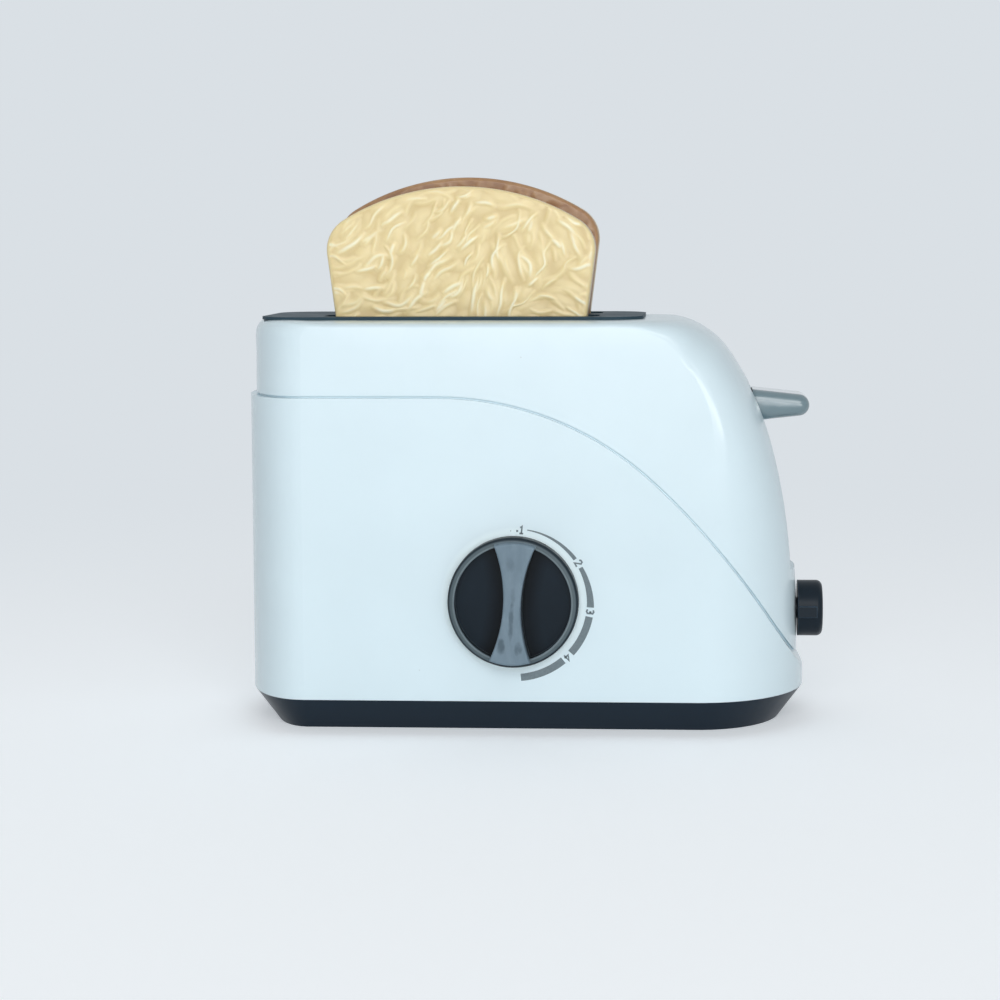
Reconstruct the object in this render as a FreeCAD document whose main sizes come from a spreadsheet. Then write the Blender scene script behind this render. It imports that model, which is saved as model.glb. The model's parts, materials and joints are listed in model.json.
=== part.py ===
import FreeCAD, Part

"""Toy toaster: a two-slot pop-up toaster for pretend play, with its lever, browning dial,
wind-up timer, bell and two slices of bread.

The origin is the centre of the footprint, on the surface that the toaster stands on. +Z is up,
the front with the dial faces -Y, and the lever and the timer knob are at the +X end.
All sizes are in millimetres, and the driving ones are in the sheet "sizes"."""

import math
import os
import re
import sys

from FreeCAD import Placement, Rotation, Vector

SIZES = {
    # casing
    "shell_bottom": 12.0,  # lower edge of the white shells
    "shell_top": 151.5,  # flat top of the shells
    "shell_wall": 2.2,
    "right_end": 102.7,  # end of the upper body on the lever's side
    "left_end": 102.7,  # end of the upper body on the other side
    "half_depth": 42.0,  # front face of the upper body
    "side_radius": 244.0,  # arc of the right end's side
    "side_turn": 16.3,  # degrees
    "shoulder_radius": 112.0,
    "shoulder_turn": 19.2,  # degrees
    "crown_radius": 28.7,
    "left_corner_radius": 5.0,
    "left_fan": 60.0,  # length of top over which the left end's rounding begins
    "top_edge_round": 2.4,  # rounding of the flat top's long edges
    "shoulder_bow": 14.7,  # how far the shoulder falls back before the front face
    "right_bow": 38.0,  # depth of the right end's half ellipse
    "left_bow": 23.0,  # depth of the left end's half ellipse
    "field_proud": 1.0,  # how far the lower field stands out at front and back
    "field_proud_end": 2.3,  # and at the two ends
    "field_top": 123.4,  # level edge of the lower field
    "field_bend_start": -29.5,  # where that edge begins to fall
    "field_bend_radius": 115.0,
    "field_bend_turn": 42.0,  # degrees
    "field_run_radius": 240.0,  # the edge's lower stretch bends less
    "field_run_turn": 58.0,  # degrees, slope at that stretch's end
    "groove_width": 0.7,
    "groove_depth": 0.8,
    # lever channel in the right end
    "channel_wall_x": 84.4,  # upright back wall
    "channel_bottom": 57.0,
    "channel_width": 28.0,
    "neck_slot_width": 7.0,
    "neck_slot_play": 1.0,
    # casing screws
    "boss_radius": 4.6,
    "screw_radius": 1.3,
    "screw_head_radius": 2.7,
    "screw_head_height": 1.6,
    "screw_clear": 0.2,
    "head_clear": 0.3,
    "boss_left_x": -90.0,
    "boss_left_high": 130.0,
    "boss_left_low": 28.0,
    "boss_from_rod": 11.0,  # from the guide rods to the upper right boss
    "boss_right_high": 136.0,
    "boss_right_low_x": 92.0,
    "boss_right_low": 24.0,
    "boss_seat": 12.0,  # screw head's seat, behind the parting plane
    "shell_screw_bite": 10.0,
    # base
    "tray_floor": 2.4,
    "tray_wall": 2.4,
    "tray_taper": 9.0,
    "lip_height": 4.0,
    "lip_wall": 1.8,
    "lip_gap": 0.15,
    "base_screw_left_x": -60.0,
    "base_screw_right_x": 52.0,
    "base_screw_y": 28.0,
    "base_post_radius": 4.2,
    "base_screw_seat": 8.0,
    "base_screw_top": 26.0,
    "base_boss_top": 30.0,
    "base_boss_radius": 3.6,
    "base_rib": 2.0,
    "seat_gap": 0.1,  # between two pieces that a screw pulls together
    # slot plate
    "plate_left": -98.0,
    "plate_right": 45.0,
    "plate_half_width": 31.0,
    "plate_corner": 14.0,
    "plate_rise": 1.1,
    "plate_drop": 3.0,
    "plate_ledge": 3.3,
    "plate_gap": 0.2,
    # slots, wells and slices
    "slice_centre_x": -23.0,
    "slot_length": 103.0,
    "slot_width": 17.0,
    "slot_pitch": 30.0,
    "slot_corner": 4.0,
    "well_wall": 1.6,
    "well_bottom": 52.0,
    "flange_height": 2.0,
    "flange_out": 2.4,
    "flange_ear": 6.0,
    "well_screw_in": 3.0,
    "well_screw_spread": 7.0,
    "well_screw_bite": 2.5,
    "arm_slit": 6.0,
    "slit_play": 2.4,
    "hook_y": 14.0,
    "hook_width": 12.0,
    "hook_drop": 2.4,
    "hook_nose": 1.6,
    "slice_thickness": 13.0,
    "slice_height": 95.0,
    "slice_foot": 82.0,
    "slice_width": 102.0,
    "slice_foot_radius": 8.0,
    "slice_corner_radius": 13.0,
    "slice_crown_radius": 84.0,
    "slice_round": 1.6,
    "slice_wall": 1.8,
    # carriage
    "rest_top": 105.7,
    "rest_step": 4.0,
    "rest_thickness": 3.0,
    "rest_length": 92.0,
    "rest_width": 12.0,
    "arm_width": 4.0,
    "arm_depth": 5.0,
    "yoke_from_slot": 7.5,
    "yoke_thickness": 4.0,
    "yoke_half_width": 21.0,
    "yoke_top": 124.5,
    "neck_bottom": 112.6,
    "neck_width": 5.0,
    "neck_window_x": 73.0,
    "neck_window_length": 5.0,
    "neck_window_height": 7.0,
    "web_thickness": 3.0,
    "travel": 50.0,
    "rod_from_slot": 17.5,
    "rod_y": 18.0,
    "rod_radius": 2.0,
    "rod_fit": 0.05,
    "bushing_radius": 4.5,
    "bushing_bottom": 103.0,
    "rod_boss_radius": 5.0,
    "rod_boss_top": 12.0,
    "rod_foot": 4.0,
    "rod_top": 133.2,
    "spring_radius": 3.7,
    "spring_wire": 0.25,
    "spring_turns": 18.0,
    "spring_gap": 0.3,
    "stop_height": 2.7,
    "bracket_bottom": 127.5,
    "bracket_thickness": 3.0,
    "bracket_length": 20.9,
    "bracket_half_width": 24.0,
    "bracket_upright": 2.5,
    "bracket_top": 142.0,
    "bracket_screw_z": 136.5,
    "clip_height": 1.6,
    # lever handle
    "handle_gap": 1.2,  # from the channel's back wall
    "handle_tip_x": 107.0,
    "handle_root_height": 12.0,
    "handle_tip_radius": 4.1,
    "handle_width": 24.0,
    "handle_round": 3.8,
    "handle_centre_z": 118.6,
    "handle_screw_bite": 8.0,
    # catch and latch
    "catch_y": 11.0,
    "catch_width": 6.0,
    "catch_end_x": 56.0,
    "catch_bottom": 104.0,
    "catch_top": 112.0,
    "catch_mouth": 4.0,
    "catch_mouth_depth": 5.5,
    "latch_x": 62.0,
    "latch_z": 24.0,
    "latch_width": 5.0,
    "latch_thickness": 3.0,
    "latch_hub_radius": 3.2,
    "latch_nose_x": 56.7,
    "latch_nose_bottom": 57.1,
    "latch_nose_top": 59.4,
    "pin_radius": 1.5,
    "pin_fit": 0.05,
    "ear_thickness": 1.6,
    "ear_gap": 0.3,
    "pin_end": 0.5,  # how far a pin stands out of its ears
    "coil_room": 2.6,
    "coil_wire": 0.3,
    "coil_pitch": 0.75,
    "coil_turns": 2,
    "coil_leg": 4.5,
    # timer
    "timer_z": 40.3,
    "shaft_radius": 2.5,
    "arbor_radius": 1.2,
    "arbor_fit": 0.05,
    "inner_plate_x": 66.0,
    "outer_plate_x": 84.0,
    "timer_plate_thickness": 2.0,
    "timer_plate_low": 5.0,
    "timer_plate_top": 54.0,
    "timer_plate_half": 26.0,
    "timer_flange": 6.0,
    "timer_flange_height": 2.0,
    "timer_foot_width": 8.0,
    "inner_foot_y": 18.0,
    "outer_foot_y": 10.0,
    "timer_screw_bite": 1.8,
    "pillar_radius": 2.2,
    "pillar_y": 22.0,
    "pillar_low": 10.0,
    "pillar_high": 49.5,
    "gear_module": 0.7,
    "wheel_teeth": 36,
    "pinion_teeth": 10,
    "gear_thickness": 2.4,
    "gear_backlash": 0.16,
    "main_gear_x": 74.0,
    "second_wheel_x": 78.2,
    "escape_wheel_x": 81.6,
    "second_turn": 227.0,  # degrees, way from the main shaft to the second arbor
    "escape_turn": -15.5,  # degrees, way from the second arbor to the escape arbor
    "escape_radius": 8.0,
    "escape_teeth": 15,
    "escape_thickness": 1.2,
    "pallet_reach": 12.5,
    "pallet_pin_radius": 0.6,
    "pallet_gap": 0.8,
    "pallet_spread": 40.0,  # degrees
    "mainspring_x": 69.0,
    "mainspring_width": 3.6,
    "mainspring_strip": 0.5,
    "mainspring_start": 3.6,
    "mainspring_pitch": 1.7,
    "mainspring_turns": 5,
    "cam_x": 56.8,
    "cam_thickness": 1.2,
    "cam_radius": 11.0,
    "cam_nub_radius": 1.0,
    "cam_nub_place": 9.0,
    "cam_bump": 0.4,
    "knob_radius": 10.6,
    "knob_length": 9.4,
    "knob_gap": 0.4,
    "knob_round": 2.3,
    "knob_rib": 4.2,
    "knob_rib_rise": 0.7,
    "knob_stem_radius": 4.0,
    "knob_stem_length": 9.0,
    "knob_socket": 6.0,
    "hole_clear": 0.5,
    # bell
    "bell_x": 11.0,
    "bell_radius": 19.0,
    "bell_rim_z": 17.0,
    "bell_height": 12.0,
    "bell_wall": 1.2,
    "bell_post_radius": 2.6,
    "hammer_x": 38.0,
    "hammer_z": 8.0,
    "hammer_head_radius": 2.6,
    "hammer_head_z": 19.6,
    "hammer_gap": 1.2,
    "hammer_hub_radius": 3.2,
    "hammer_width": 5.0,
    "hammer_arm": 2.6,
    "hammer_tail_x": 54.6,
    "hammer_tail_z": 28.0,
    # browning dial
    "dial_x": -1.9,
    "dial_z": 49.4,
    "dial_radius": 23.9,
    "dial_gap": 0.4,
    "dial_thickness": 6.0,
    "dial_round": 1.8,
    "dial_floor": 2.0,
    "dial_rim": 2.6,
    "grip_rise": 4.0,
    "grip_end_width": 15.0,
    "grip_waist": 6.4,
    "grip_tilt": 2.8,  # degrees
    "dial_stem_radius": 4.0,
    "click_wheel_radius": 10.0,
    "click_wheel_thickness": 2.4,
    "click_notches": 12,
    "click_notch_radius": 1.1,
    "click_gap": 0.4,
    "click_strip": 0.5,
    "click_inset": 0.5,  # between the shell's inner face and the click wheel
    "click_eye_radius": 2.8,
    "click_eye_drop": 6.0,
    "dial_screw_bite": 5.0,
    "click_screw_bite": 2.2,
}

NODES = {}  # label of each piece and the document object that makes it

doc = FreeCAD.newDocument("toy_toaster")
sheet = doc.addObject("Spreadsheet::Sheet", "sizes")
for row, (alias, value) in enumerate(SIZES.items(), start=1):
    sheet.set(f"A{row}", alias)
    sheet.set(f"B{row}", str(value))
    sheet.setAlias(f"B{row}", alias)
doc.recompute()

ALIAS = re.compile(r"\b(" + "|".join(SIZES) + r")\b")


class Sizes:
    """The sheet's values, for the free-form pieces that are worked out point by point."""

    def __getattr__(self, alias):
        return float(sheet.get(alias))


v = Sizes()


# Helpers: document objects whose sizes are expressions of the sheet's cells


def bind(obj, prop, expression):
    obj.setExpression(prop, ALIAS.sub(r"sizes.\1", str(expression)))


def box(name, x, y, z):
    """A block between two planes on each axis."""
    block = doc.addObject("Part::Box", name)
    for prop, axis, (low, high) in (("Length", "x", x), ("Width", "y", y), ("Height", "z", z)):
        bind(block, prop, f"({high}) - ({low})")
        bind(block, f"Placement.Base.{axis}", low)
    return block


TURN_TO = {
    "x": Rotation(Vector(0, 1, 0), 90),
    "y": Rotation(Vector(1, 0, 0), -90),
    "z": Rotation(),
}


def place(obj, axis, centre, low):
    """Puts an object that was made along +Z on an axis: centre gives the other two places."""
    obj.Placement = Placement(Vector(), TURN_TO[axis])
    others = [a for a in "xyz" if a != axis]
    bind(obj, f"Placement.Base.{axis}", low)
    for other, where in zip(others, centre):
        bind(obj, f"Placement.Base.{other}", where)


def cylinder(name, axis, centre, span, radius):
    round_bar = doc.addObject("Part::Cylinder", name)
    bind(round_bar, "Radius", radius)
    bind(round_bar, "Height", f"({span[1]}) - ({span[0]})")
    place(round_bar, axis, centre, span[0])
    return round_bar


def cone(name, axis, centre, span, radius_low, radius_high):
    taper = doc.addObject("Part::Cone", name)
    bind(taper, "Radius1", radius_low)
    bind(taper, "Radius2", radius_high)
    bind(taper, "Height", f"({span[1]}) - ({span[0]})")
    place(taper, axis, centre, span[0])
    return taper


def sphere(name, centre, radius):
    ball = doc.addObject("Part::Sphere", name)
    bind(ball, "Radius", radius)
    for axis, where in zip("xyz", centre):
        bind(ball, f"Placement.Base.{axis}", where)
    return ball


def fuse(name, *shapes):
    joined = doc.addObject("Part::MultiFuse", name)
    joined.Shapes = list(shapes)
    joined.Refine = True
    return joined


def common(name, *shapes):
    shared = doc.addObject("Part::MultiCommon", name)
    shared.Shapes = list(shapes)
    return shared


def cut(name, base, *tools):
    rest = doc.addObject("Part::Cut", name)
    rest.Base = base
    rest.Tool = tools[0] if len(tools) == 1 else fuse(name + "_tools", *tools)
    return rest


def group(name, shapes):
    """Identical loose solids that share one node."""
    loose = doc.addObject("Part::Compound", name)
    loose.Links = list(shapes)
    return loose


def mirrored(name, source, normal=Vector(0, 1, 0)):
    twin = doc.addObject("Part::Mirroring", name)
    twin.Source = source
    twin.Normal = normal
    return twin


def feature(name, shape, placement=None):
    """A shape worked out with Part's own functions from the sheet's values."""
    made = doc.addObject("Part::Feature", name)
    made.Shape = shape
    made.Placement = placement or Placement()
    return made


def rounded_block(name, x, y, z, corner):
    """A block with its four upright edges rounded."""
    (x0, x1), (y0, y1) = x, y
    parts = [
        box(name + "_long", (f"({x0}) + ({corner})", f"({x1}) - ({corner})"), y, z),
        box(name + "_wide", x, (f"({y0}) + ({corner})", f"({y1}) - ({corner})"), z),
    ]
    for i, (cx, sx) in enumerate(((x0, "+"), (x1, "-"))):
        for j, (cy, sy) in enumerate(((y0, "+"), (y1, "-"))):
            centre = (f"({cx}) {sx} ({corner})", f"({cy}) {sy} ({corner})")
            parts.append(cylinder(f"{name}_corner_{i}{j}", "z", centre, z, corner))
    return fuse(name, *parts)


def block_on(name, axis, centre, span, half_1, half_2):
    """A block around an axis, half_1 and half_2 wide on each side of it."""
    sides = {axis: span}
    others = [a for a in "xyz" if a != axis]
    for other, where, half in zip(others, centre, (half_1, half_2)):
        sides[other] = (f"({where}) - ({half})", f"({where}) + ({half})")
    return box(name, sides["x"], sides["y"], sides["z"])


def screw(name, axis, centre, seat, way, length):
    """A cross-head screw whose head lies on seat and whose shank runs on by length.
    way is + where the shank runs along the axis, and - where it runs against it."""
    back = "-" if way == "+" else "+"
    ends = {
        "head": (seat, f"({seat}) {back} screw_head_height"),
        "shank": (f"({seat}) {way} ({length})", f"({seat}) {back} screw_head_height / 2"),
        "drive": (f"({seat}) {back} 0.4 * screw_head_height", f"({seat}) {back} 2 * screw_head_height"),
    }
    spans = {part: span if way == "-" else span[::-1] for part, span in ends.items()}
    head = cylinder(name + "_head", axis, centre, spans["head"], "screw_head_radius")
    shank = cylinder(name + "_shank", axis, centre, spans["shank"], "screw_radius")
    wide, thin = "0.6 * screw_head_radius", "0.13 * screw_head_radius"
    cross_1 = block_on(name + "_cross_1", axis, centre, spans["drive"], wide, thin)
    cross_2 = block_on(name + "_cross_2", axis, centre, spans["drive"], thin, wide)
    return cut(name, fuse(name + "_blank", head, shank), cross_1, cross_2)


def middle(centre, half):
    """The two planes at half on each side of a centre."""
    return (f"({centre}) - ({half})", f"({centre}) + ({half})")


def node(label, obj):
    obj.Label = label
    NODES[label] = obj
    return obj


# Casing form: ribs that run from the middle of the casing out to its front face, set along the
# outline seen from the front


def smooth(x):
    x = min(max(x, 0.0), 1.0)
    return x * x * (3 - 2 * x)


class Outline:
    """The casing seen from the front: right end, shoulder, crown, flat top, corner, left end."""

    FLAT_STEPS = (-45, -28, -14, -9, -4.5)  # stations on the flat top, from the crown's start

    def __init__(self, proud):
        turn_1 = math.radians(v.side_turn)
        turn_2 = math.radians(v.side_turn + v.shoulder_turn)
        rise = v.side_radius * math.sin(turn_1)
        rise += v.shoulder_radius * (math.sin(turn_2) - math.sin(turn_1))
        rise += v.crown_radius * (1 - math.sin(turn_2))
        self.proud = proud
        self.right = v.right_end + proud
        self.left = v.left_end + proud
        start_z = v.shell_top - rise
        side_centre = Vector(self.right - v.side_radius, 0, start_z)
        way_1 = Vector(math.cos(turn_1), 0, math.sin(turn_1))
        shoulder_centre = side_centre + way_1 * (v.side_radius - v.shoulder_radius)
        way_2 = Vector(math.cos(turn_2), 0, math.sin(turn_2))
        crown_centre = shoulder_centre + way_2 * (v.shoulder_radius - v.crown_radius)
        corner = v.left_corner_radius
        corner_centre = Vector(corner - self.left, 0, v.shell_top - corner)
        self.stations = []
        self.place(Vector(self.right, 0, v.shell_bottom), 0)
        first = math.asin(max(0.0, (v.shell_bottom - start_z) / v.side_radius))
        if start_z > v.shell_bottom:
            self.place(Vector(self.right, 0, (v.shell_bottom + start_z) / 2), 0)
        self.arc(side_centre, v.side_radius, first, turn_1, 6)
        self.arc(shoulder_centre, v.shoulder_radius, turn_1, turn_2, 4)
        self.arc(crown_centre, v.crown_radius, turn_2, math.pi / 2, 7)
        self.crown_end = self.stations[-1][2]
        flat = crown_centre.x - corner_centre.x
        for step in reversed(self.FLAT_STEPS):
            self.place(Vector(crown_centre.x + step, 0, v.shell_top), math.pi / 2)
        for share in (1.0, 0.8, 0.6, 0.4, 0.2, 0.0):
            x = corner_centre.x + v.left_fan * share
            self.place(Vector(x, 0, v.shell_top), math.pi / 2)
        self.corner_start = self.stations[-1][2]
        self.arc(corner_centre, corner, math.pi / 2, math.pi, 5)
        low = v.shell_bottom
        for share in (0.03, 0.09, 0.2, 0.4, 0.65, 1.0):
            z = corner_centre.z + (low - corner_centre.z) * share
            self.place(Vector(-self.left, 0, z), math.pi)

    def place(self, point, angle):
        run = 0.0
        if self.stations:
            last_point, _, last_run = self.stations[-1]
            run = last_run + (point - last_point).Length
        self.stations.append((point, angle, run))

    def arc(self, centre, radius, start, end, steps):
        first = 0 if start == 0 else 1
        for i in range(first, steps + 1):
            angle = start + (end - start) * i / steps
            out = Vector(math.cos(angle), 0, math.sin(angle))
            self.place(centre + out * radius, angle)

    def drift(self, point, angle, run):
        """The way from a rib's middle to its end on the front face, and how square the rib is
        along X and along Z."""
        to_crown = self.crown_end - run  # positive on the right end
        to_corner = run - self.corner_start  # positive on the left end
        out = Vector(math.cos(angle), 0, math.sin(angle))
        if to_corner > -v.left_fan - 0.1:
            corner = v.left_corner_radius
            shrink = 0.2 * corner  # the front face's corner is this much tighter
            bow = v.left_bow + self.proud
            way = Vector(bow - shrink, 0, shrink - v.top_edge_round) - out * shrink
            way.x *= smooth((to_corner + v.left_fan) / v.left_fan)
            side = (point.z - v.shell_bottom) / (v.shell_top - corner - v.shell_bottom)
            way.z *= min(1.0, side)
            return way, 2.0, SQUARE
        shoulder = smooth((to_crown + 14) / 33)
        side = smooth((to_crown - 20) / 114)
        depth = v.top_edge_round
        depth += (v.shoulder_bow - v.top_edge_round) * shoulder
        depth += (v.right_bow + self.proud - v.shoulder_bow) * side
        power = SQUARE - (SQUARE - 3) * shoulder - side
        return out * -depth, power, power


SQUARE = 14.0  # power of the ribs along the flat top, which are nearly square
RIB_STEPS = 12
RIB_TURNS = [math.pi / 2 * i / RIB_STEPS for i in range(RIB_STEPS + 1)]


def fall(across, power):
    return 1 - math.sqrt(max(0.0, 1 - across**power))


def half_casing(inset=0.0, proud=0.0, proud_end=0.0):
    """The solid front half of the casing, from its front face to the parting plane."""
    outline = Outline(proud_end)
    half_depth = v.half_depth + proud - inset
    rib_poles = []
    for point, angle, run in outline.stations:
        inward = Vector(-math.cos(angle), 0, -math.sin(angle))
        way, power_x, power_z = outline.drift(point, angle, run)
        middle_point = point + inward * inset
        rib = []
        for turn in RIB_TURNS:
            across = math.sin(turn)
            x = middle_point.x + way.x * fall(across, power_x)
            z = middle_point.z + way.z * fall(across, power_z)
            rib.append(Vector(x, -half_depth * across, z))
        curve = Part.BSplineCurve()
        outwards = Vector(0, -half_depth, 0)
        inwards = Vector(way.x * math.sqrt(power_x / 2), 0, way.z * math.sqrt(power_z / 2))
        curve.interpolate(
            Points=rib, Parameters=RIB_TURNS, InitialTangent=outwards, FinalTangent=inwards, Scale=False
        )
        rib_poles.append(curve.getPoles())
        rib_knots, rib_mults = curve.getKnots(), curve.getMultiplicities()
    runs = [run for _, _, run in outline.stations]
    grid = []
    for column in zip(*rib_poles):
        curve = Part.BSplineCurve()
        curve.interpolate(Points=list(column), Parameters=runs)
        grid.append(curve.getPoles())
    knots, mults = curve.getKnots(), curve.getMultiplicities()
    surface = Part.BSplineSurface()
    poles = [list(row) for row in zip(*grid)]
    surface.buildFromPolesMultsKnots(poles, mults, rib_mults, knots, rib_knots, False, False, 3, 3)
    wrap = surface.toShape()
    parting = surface.vIso(0.0).toShape()
    front = surface.vIso(RIB_TURNS[-1]).toShape()
    right = surface.uIso(runs[0]).toShape()
    left = surface.uIso(runs[-1]).toShape()
    ends = left.valueAt(left.FirstParameter), right.valueAt(right.FirstParameter)
    parting_line = Part.makeLine(*ends)
    ends = left.valueAt(left.LastParameter), right.valueAt(right.LastParameter)
    front_line = Part.makeLine(*ends)
    faces = [
        wrap,
        Part.Face(Part.Wire([parting, parting_line])),
        Part.Face(Part.Wire([front, front_line])),
        Part.Face(Part.Wire(Part.__sortEdges__([right, front_line, left, parting_line]))),
    ]
    skin = Part.makeShell(faces)
    skin.sewShape()
    solid = Part.makeSolid(skin)
    if solid.Volume < 0:
        solid.reverse()
    return solid


BEYOND = 160.0  # a reach that is outside the casing on every side


def field_edge(offset=0.0):
    """The lower field's upper edge as edges in the XZ plane, from the left end to the right:
    level, then two arcs that fall to the right, then straight on."""

    def way(turn):
        return Vector(math.sin(turn), 0, math.cos(turn))

    turns = (0.0, math.radians(v.field_bend_turn), math.radians(v.field_run_turn))
    bend_centre = Vector(v.field_bend_start, 0, v.field_top - v.field_bend_radius)
    run_centre = bend_centre + way(turns[1]) * (v.field_bend_radius - v.field_run_radius)
    arcs = []
    for centre, radius, (first, last) in (
        (bend_centre, v.field_bend_radius + offset, turns[:2]),
        (run_centre, v.field_run_radius + offset, turns[1:]),
    ):
        points = [centre + way(turn) * radius for turn in (first, (first + last) / 2, last)]
        arcs.append(Part.Arc(*points).toShape())
    start, end = arcs[0].Vertexes[0].Point, arcs[-1].Vertexes[-1].Point
    run_out = Vector(math.cos(turns[2]), 0, -math.sin(turns[2])) * BEYOND
    level = Part.makeLine(Vector(-BEYOND, 0, start.z), start)
    return [level, *arcs, Part.makeLine(end, end + run_out)]


def slab(edges, depth):
    """A wire in the XZ plane pulled towards the front."""
    return Part.Face(Part.Wire(edges)).extrude(Vector(0, -depth, 0))


def field_region():
    edges = field_edge()
    start, end = edges[0].Vertexes[0].Point, edges[-1].Vertexes[1].Point
    low = Vector(end.x, 0, -BEYOND)
    corner = Vector(start.x, 0, -BEYOND)
    closing = [Part.makeLine(end, low), Part.makeLine(low, corner), Part.makeLine(corner, start)]
    return slab(edges + closing, BEYOND)


def groove_region():
    lower, upper = field_edge(-0.02), field_edge(v.groove_width)
    ends = [
        Part.makeLine(lower[-1].Vertexes[1].Point, upper[-1].Vertexes[1].Point),
        Part.makeLine(upper[0].Vertexes[0].Point, lower[0].Vertexes[0].Point),
    ]
    return slab(Part.__sortEdges__(lower + upper + ends), BEYOND)


def half_shell_form():
    """Solid outer form of the front half: upper body, proud lower field and the groove."""
    upper = half_casing()
    lower = half_casing(0.0, v.field_proud, v.field_proud_end).common(field_region())
    groove = groove_region().cut(half_casing(v.groove_depth))
    return upper.fuse(lower).cut(groove)


def plan_outline(z, inset, proud=0.0, proud_end=0.0, moved=0.0):
    """The casing's outline seen from above as a wire at height z: two half ellipses and two
    straight sides, drawn in by inset, of which the ends make up moved by coming nearer whole."""
    half = v.half_depth + proud - inset
    ends = {1: (v.right_end, v.right_bow), -1: (v.left_end, v.left_bow)}
    edges, corners = [], {}
    for side, (end, bow) in ends.items():
        reach = bow + proud_end - (inset - moved)
        centre = Vector(side * (end - bow - moved), 0, z)
        tip = centre + Vector(side * reach, 0, 0)
        flank = centre + Vector(0, half, 0)
        corners[side] = (centre.x, half)
        if half > reach:
            edges.append(Part.Ellipse(flank, tip, centre).toShape(0, math.pi))
        else:
            edges.append(Part.Ellipse(tip, flank, centre).toShape(-math.pi / 2, math.pi / 2))
    for row in (1, -1):
        start, end = (Vector(corners[side][0], row * half, z) for side in (1, -1))
        edges.append(Part.makeLine(start, end))
    return Part.Wire(Part.__sortEdges__(edges))


def tray_loft(low, high, inset_low, inset_high):
    prouds = (v.field_proud, v.field_proud_end)
    wires = [plan_outline(low, inset_low, *prouds), plan_outline(high, inset_high, *prouds)]
    return Part.makeLoft(wires, True, True)


def lip_loft(low, high, gap):
    """Follows the shells' inner face, which is their outer one with its ends moved in whole."""
    wall = v.shell_wall
    return Part.makeLoft([plan_outline(z, wall + gap, moved=wall) for z in (low, high)], True, True)


# Places that several pieces share

PLATE_UNDER = "(shell_top - plate_drop)"
SLOT_LEFT = "(slice_centre_x - slot_length / 2)"
SLOT_RIGHT = "(slice_centre_x + slot_length / 2)"
PLUG_CORNER = "(plate_corner - plate_ledge)"
YOKE_X = f"({SLOT_RIGHT} + yoke_from_slot)"
ROD_X = f"({SLOT_RIGHT} + rod_from_slot)"
SIDES = {"front": "-", "rear": ""}
SHELL_BOSSES = {
    "left_high": ("boss_left_x", "boss_left_high"),
    "left_low": ("boss_left_x", "boss_left_low"),
    "right_high": (f"({ROD_X} + boss_from_rod)", "boss_right_high"),
    "right_low": ("boss_right_low_x", "boss_right_low"),
}
BASE_SCREWS_X = {"left": "base_screw_left_x", "right": "base_screw_right_x"}
WELL_SCREWS_X = {
    "left": f"{SLOT_LEFT} - well_wall - flange_ear + well_screw_in",
    "right": f"{SLOT_RIGHT} + well_wall + flange_ear - well_screw_in",
}
LIP_TOP = "(shell_bottom + lip_height)"
SCREW_HOLE = "(screw_radius + screw_clear)"
HANDLE_ROOT = "(channel_wall_x + handle_gap)"
WHEEL_BACK = "(half_depth - shell_wall - click_inset)"  # face of the click wheel near the shell
WHEEL_FRONT = f"({WHEEL_BACK} - click_wheel_thickness)"
CLICK_X = "(dial_x - click_wheel_radius - click_gap - click_strip / 2)"
CLICK_EYE = (CLICK_X, "dial_z - click_wheel_radius - click_eye_drop")
LATCH_Y = middle("catch_y", "latch_width / 2")
LATCH_SPACE = (f"{LATCH_Y[0]} - ear_gap - coil_room", f"{LATCH_Y[1]} + ear_gap")
LATCH_EARS = {
    "front": (f"{LATCH_SPACE[0]} - ear_thickness", LATCH_SPACE[0]),
    "rear": (LATCH_SPACE[1], f"{LATCH_SPACE[1]} + ear_thickness"),
}
HAMMER_EARS = {
    "front": ("-hammer_width / 2 - ear_gap - ear_thickness", "-hammer_width / 2 - ear_gap"),
    "rear": (
        "hammer_width / 2 + ear_gap + coil_room",
        "hammer_width / 2 + ear_gap + coil_room + ear_thickness",
    ),
}
CENTRES = "gear_module * (wheel_teeth + pinion_teeth) / 2"
SECOND = (
    f"({CENTRES} * cos(second_turn * 1 deg))",
    f"(timer_z + {CENTRES} * sin(second_turn * 1 deg))",
)
ESCAPE = (
    f"({SECOND[0]} + {CENTRES} * cos(escape_turn * 1 deg))",
    f"({SECOND[1]} + {CENTRES} * sin(escape_turn * 1 deg))",
)
PALLET = (f"({ESCAPE[0]} + pallet_reach)", ESCAPE[1])
TIMER_PLATES = {
    "inner": ("inner_plate_x", "-", "inner_foot_y"),
    "outer": ("outer_plate_x", "+", "outer_foot_y"),
}


def timer_foot(which, side):
    """Centre of the screw in one foot of a timer plate."""
    x, way, y = TIMER_PLATES[which]
    edge = x if way == "-" else f"{x} + timer_plate_thickness"
    return (f"{edge} {way} timer_flange / 2", f"{SIDES[side]}{y}")


def towards(side, low, high):
    """Places across the casing, counted from the parting plane to the side that is named."""
    return (f"-({high})", f"-({low})") if side == "front" else (low, high)


# Casing, slot plate and base


def channel_block(name, side, grow):
    """The lever channel's space on one side of the parting plane, grown by a wall."""
    x = (f"channel_wall_x - {grow}", "right_end + 20")
    z = (f"channel_bottom - {grow}", "shell_top + 10")
    return box(name, x, towards(side, "0", f"channel_width / 2 + {grow}"), z)


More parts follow.
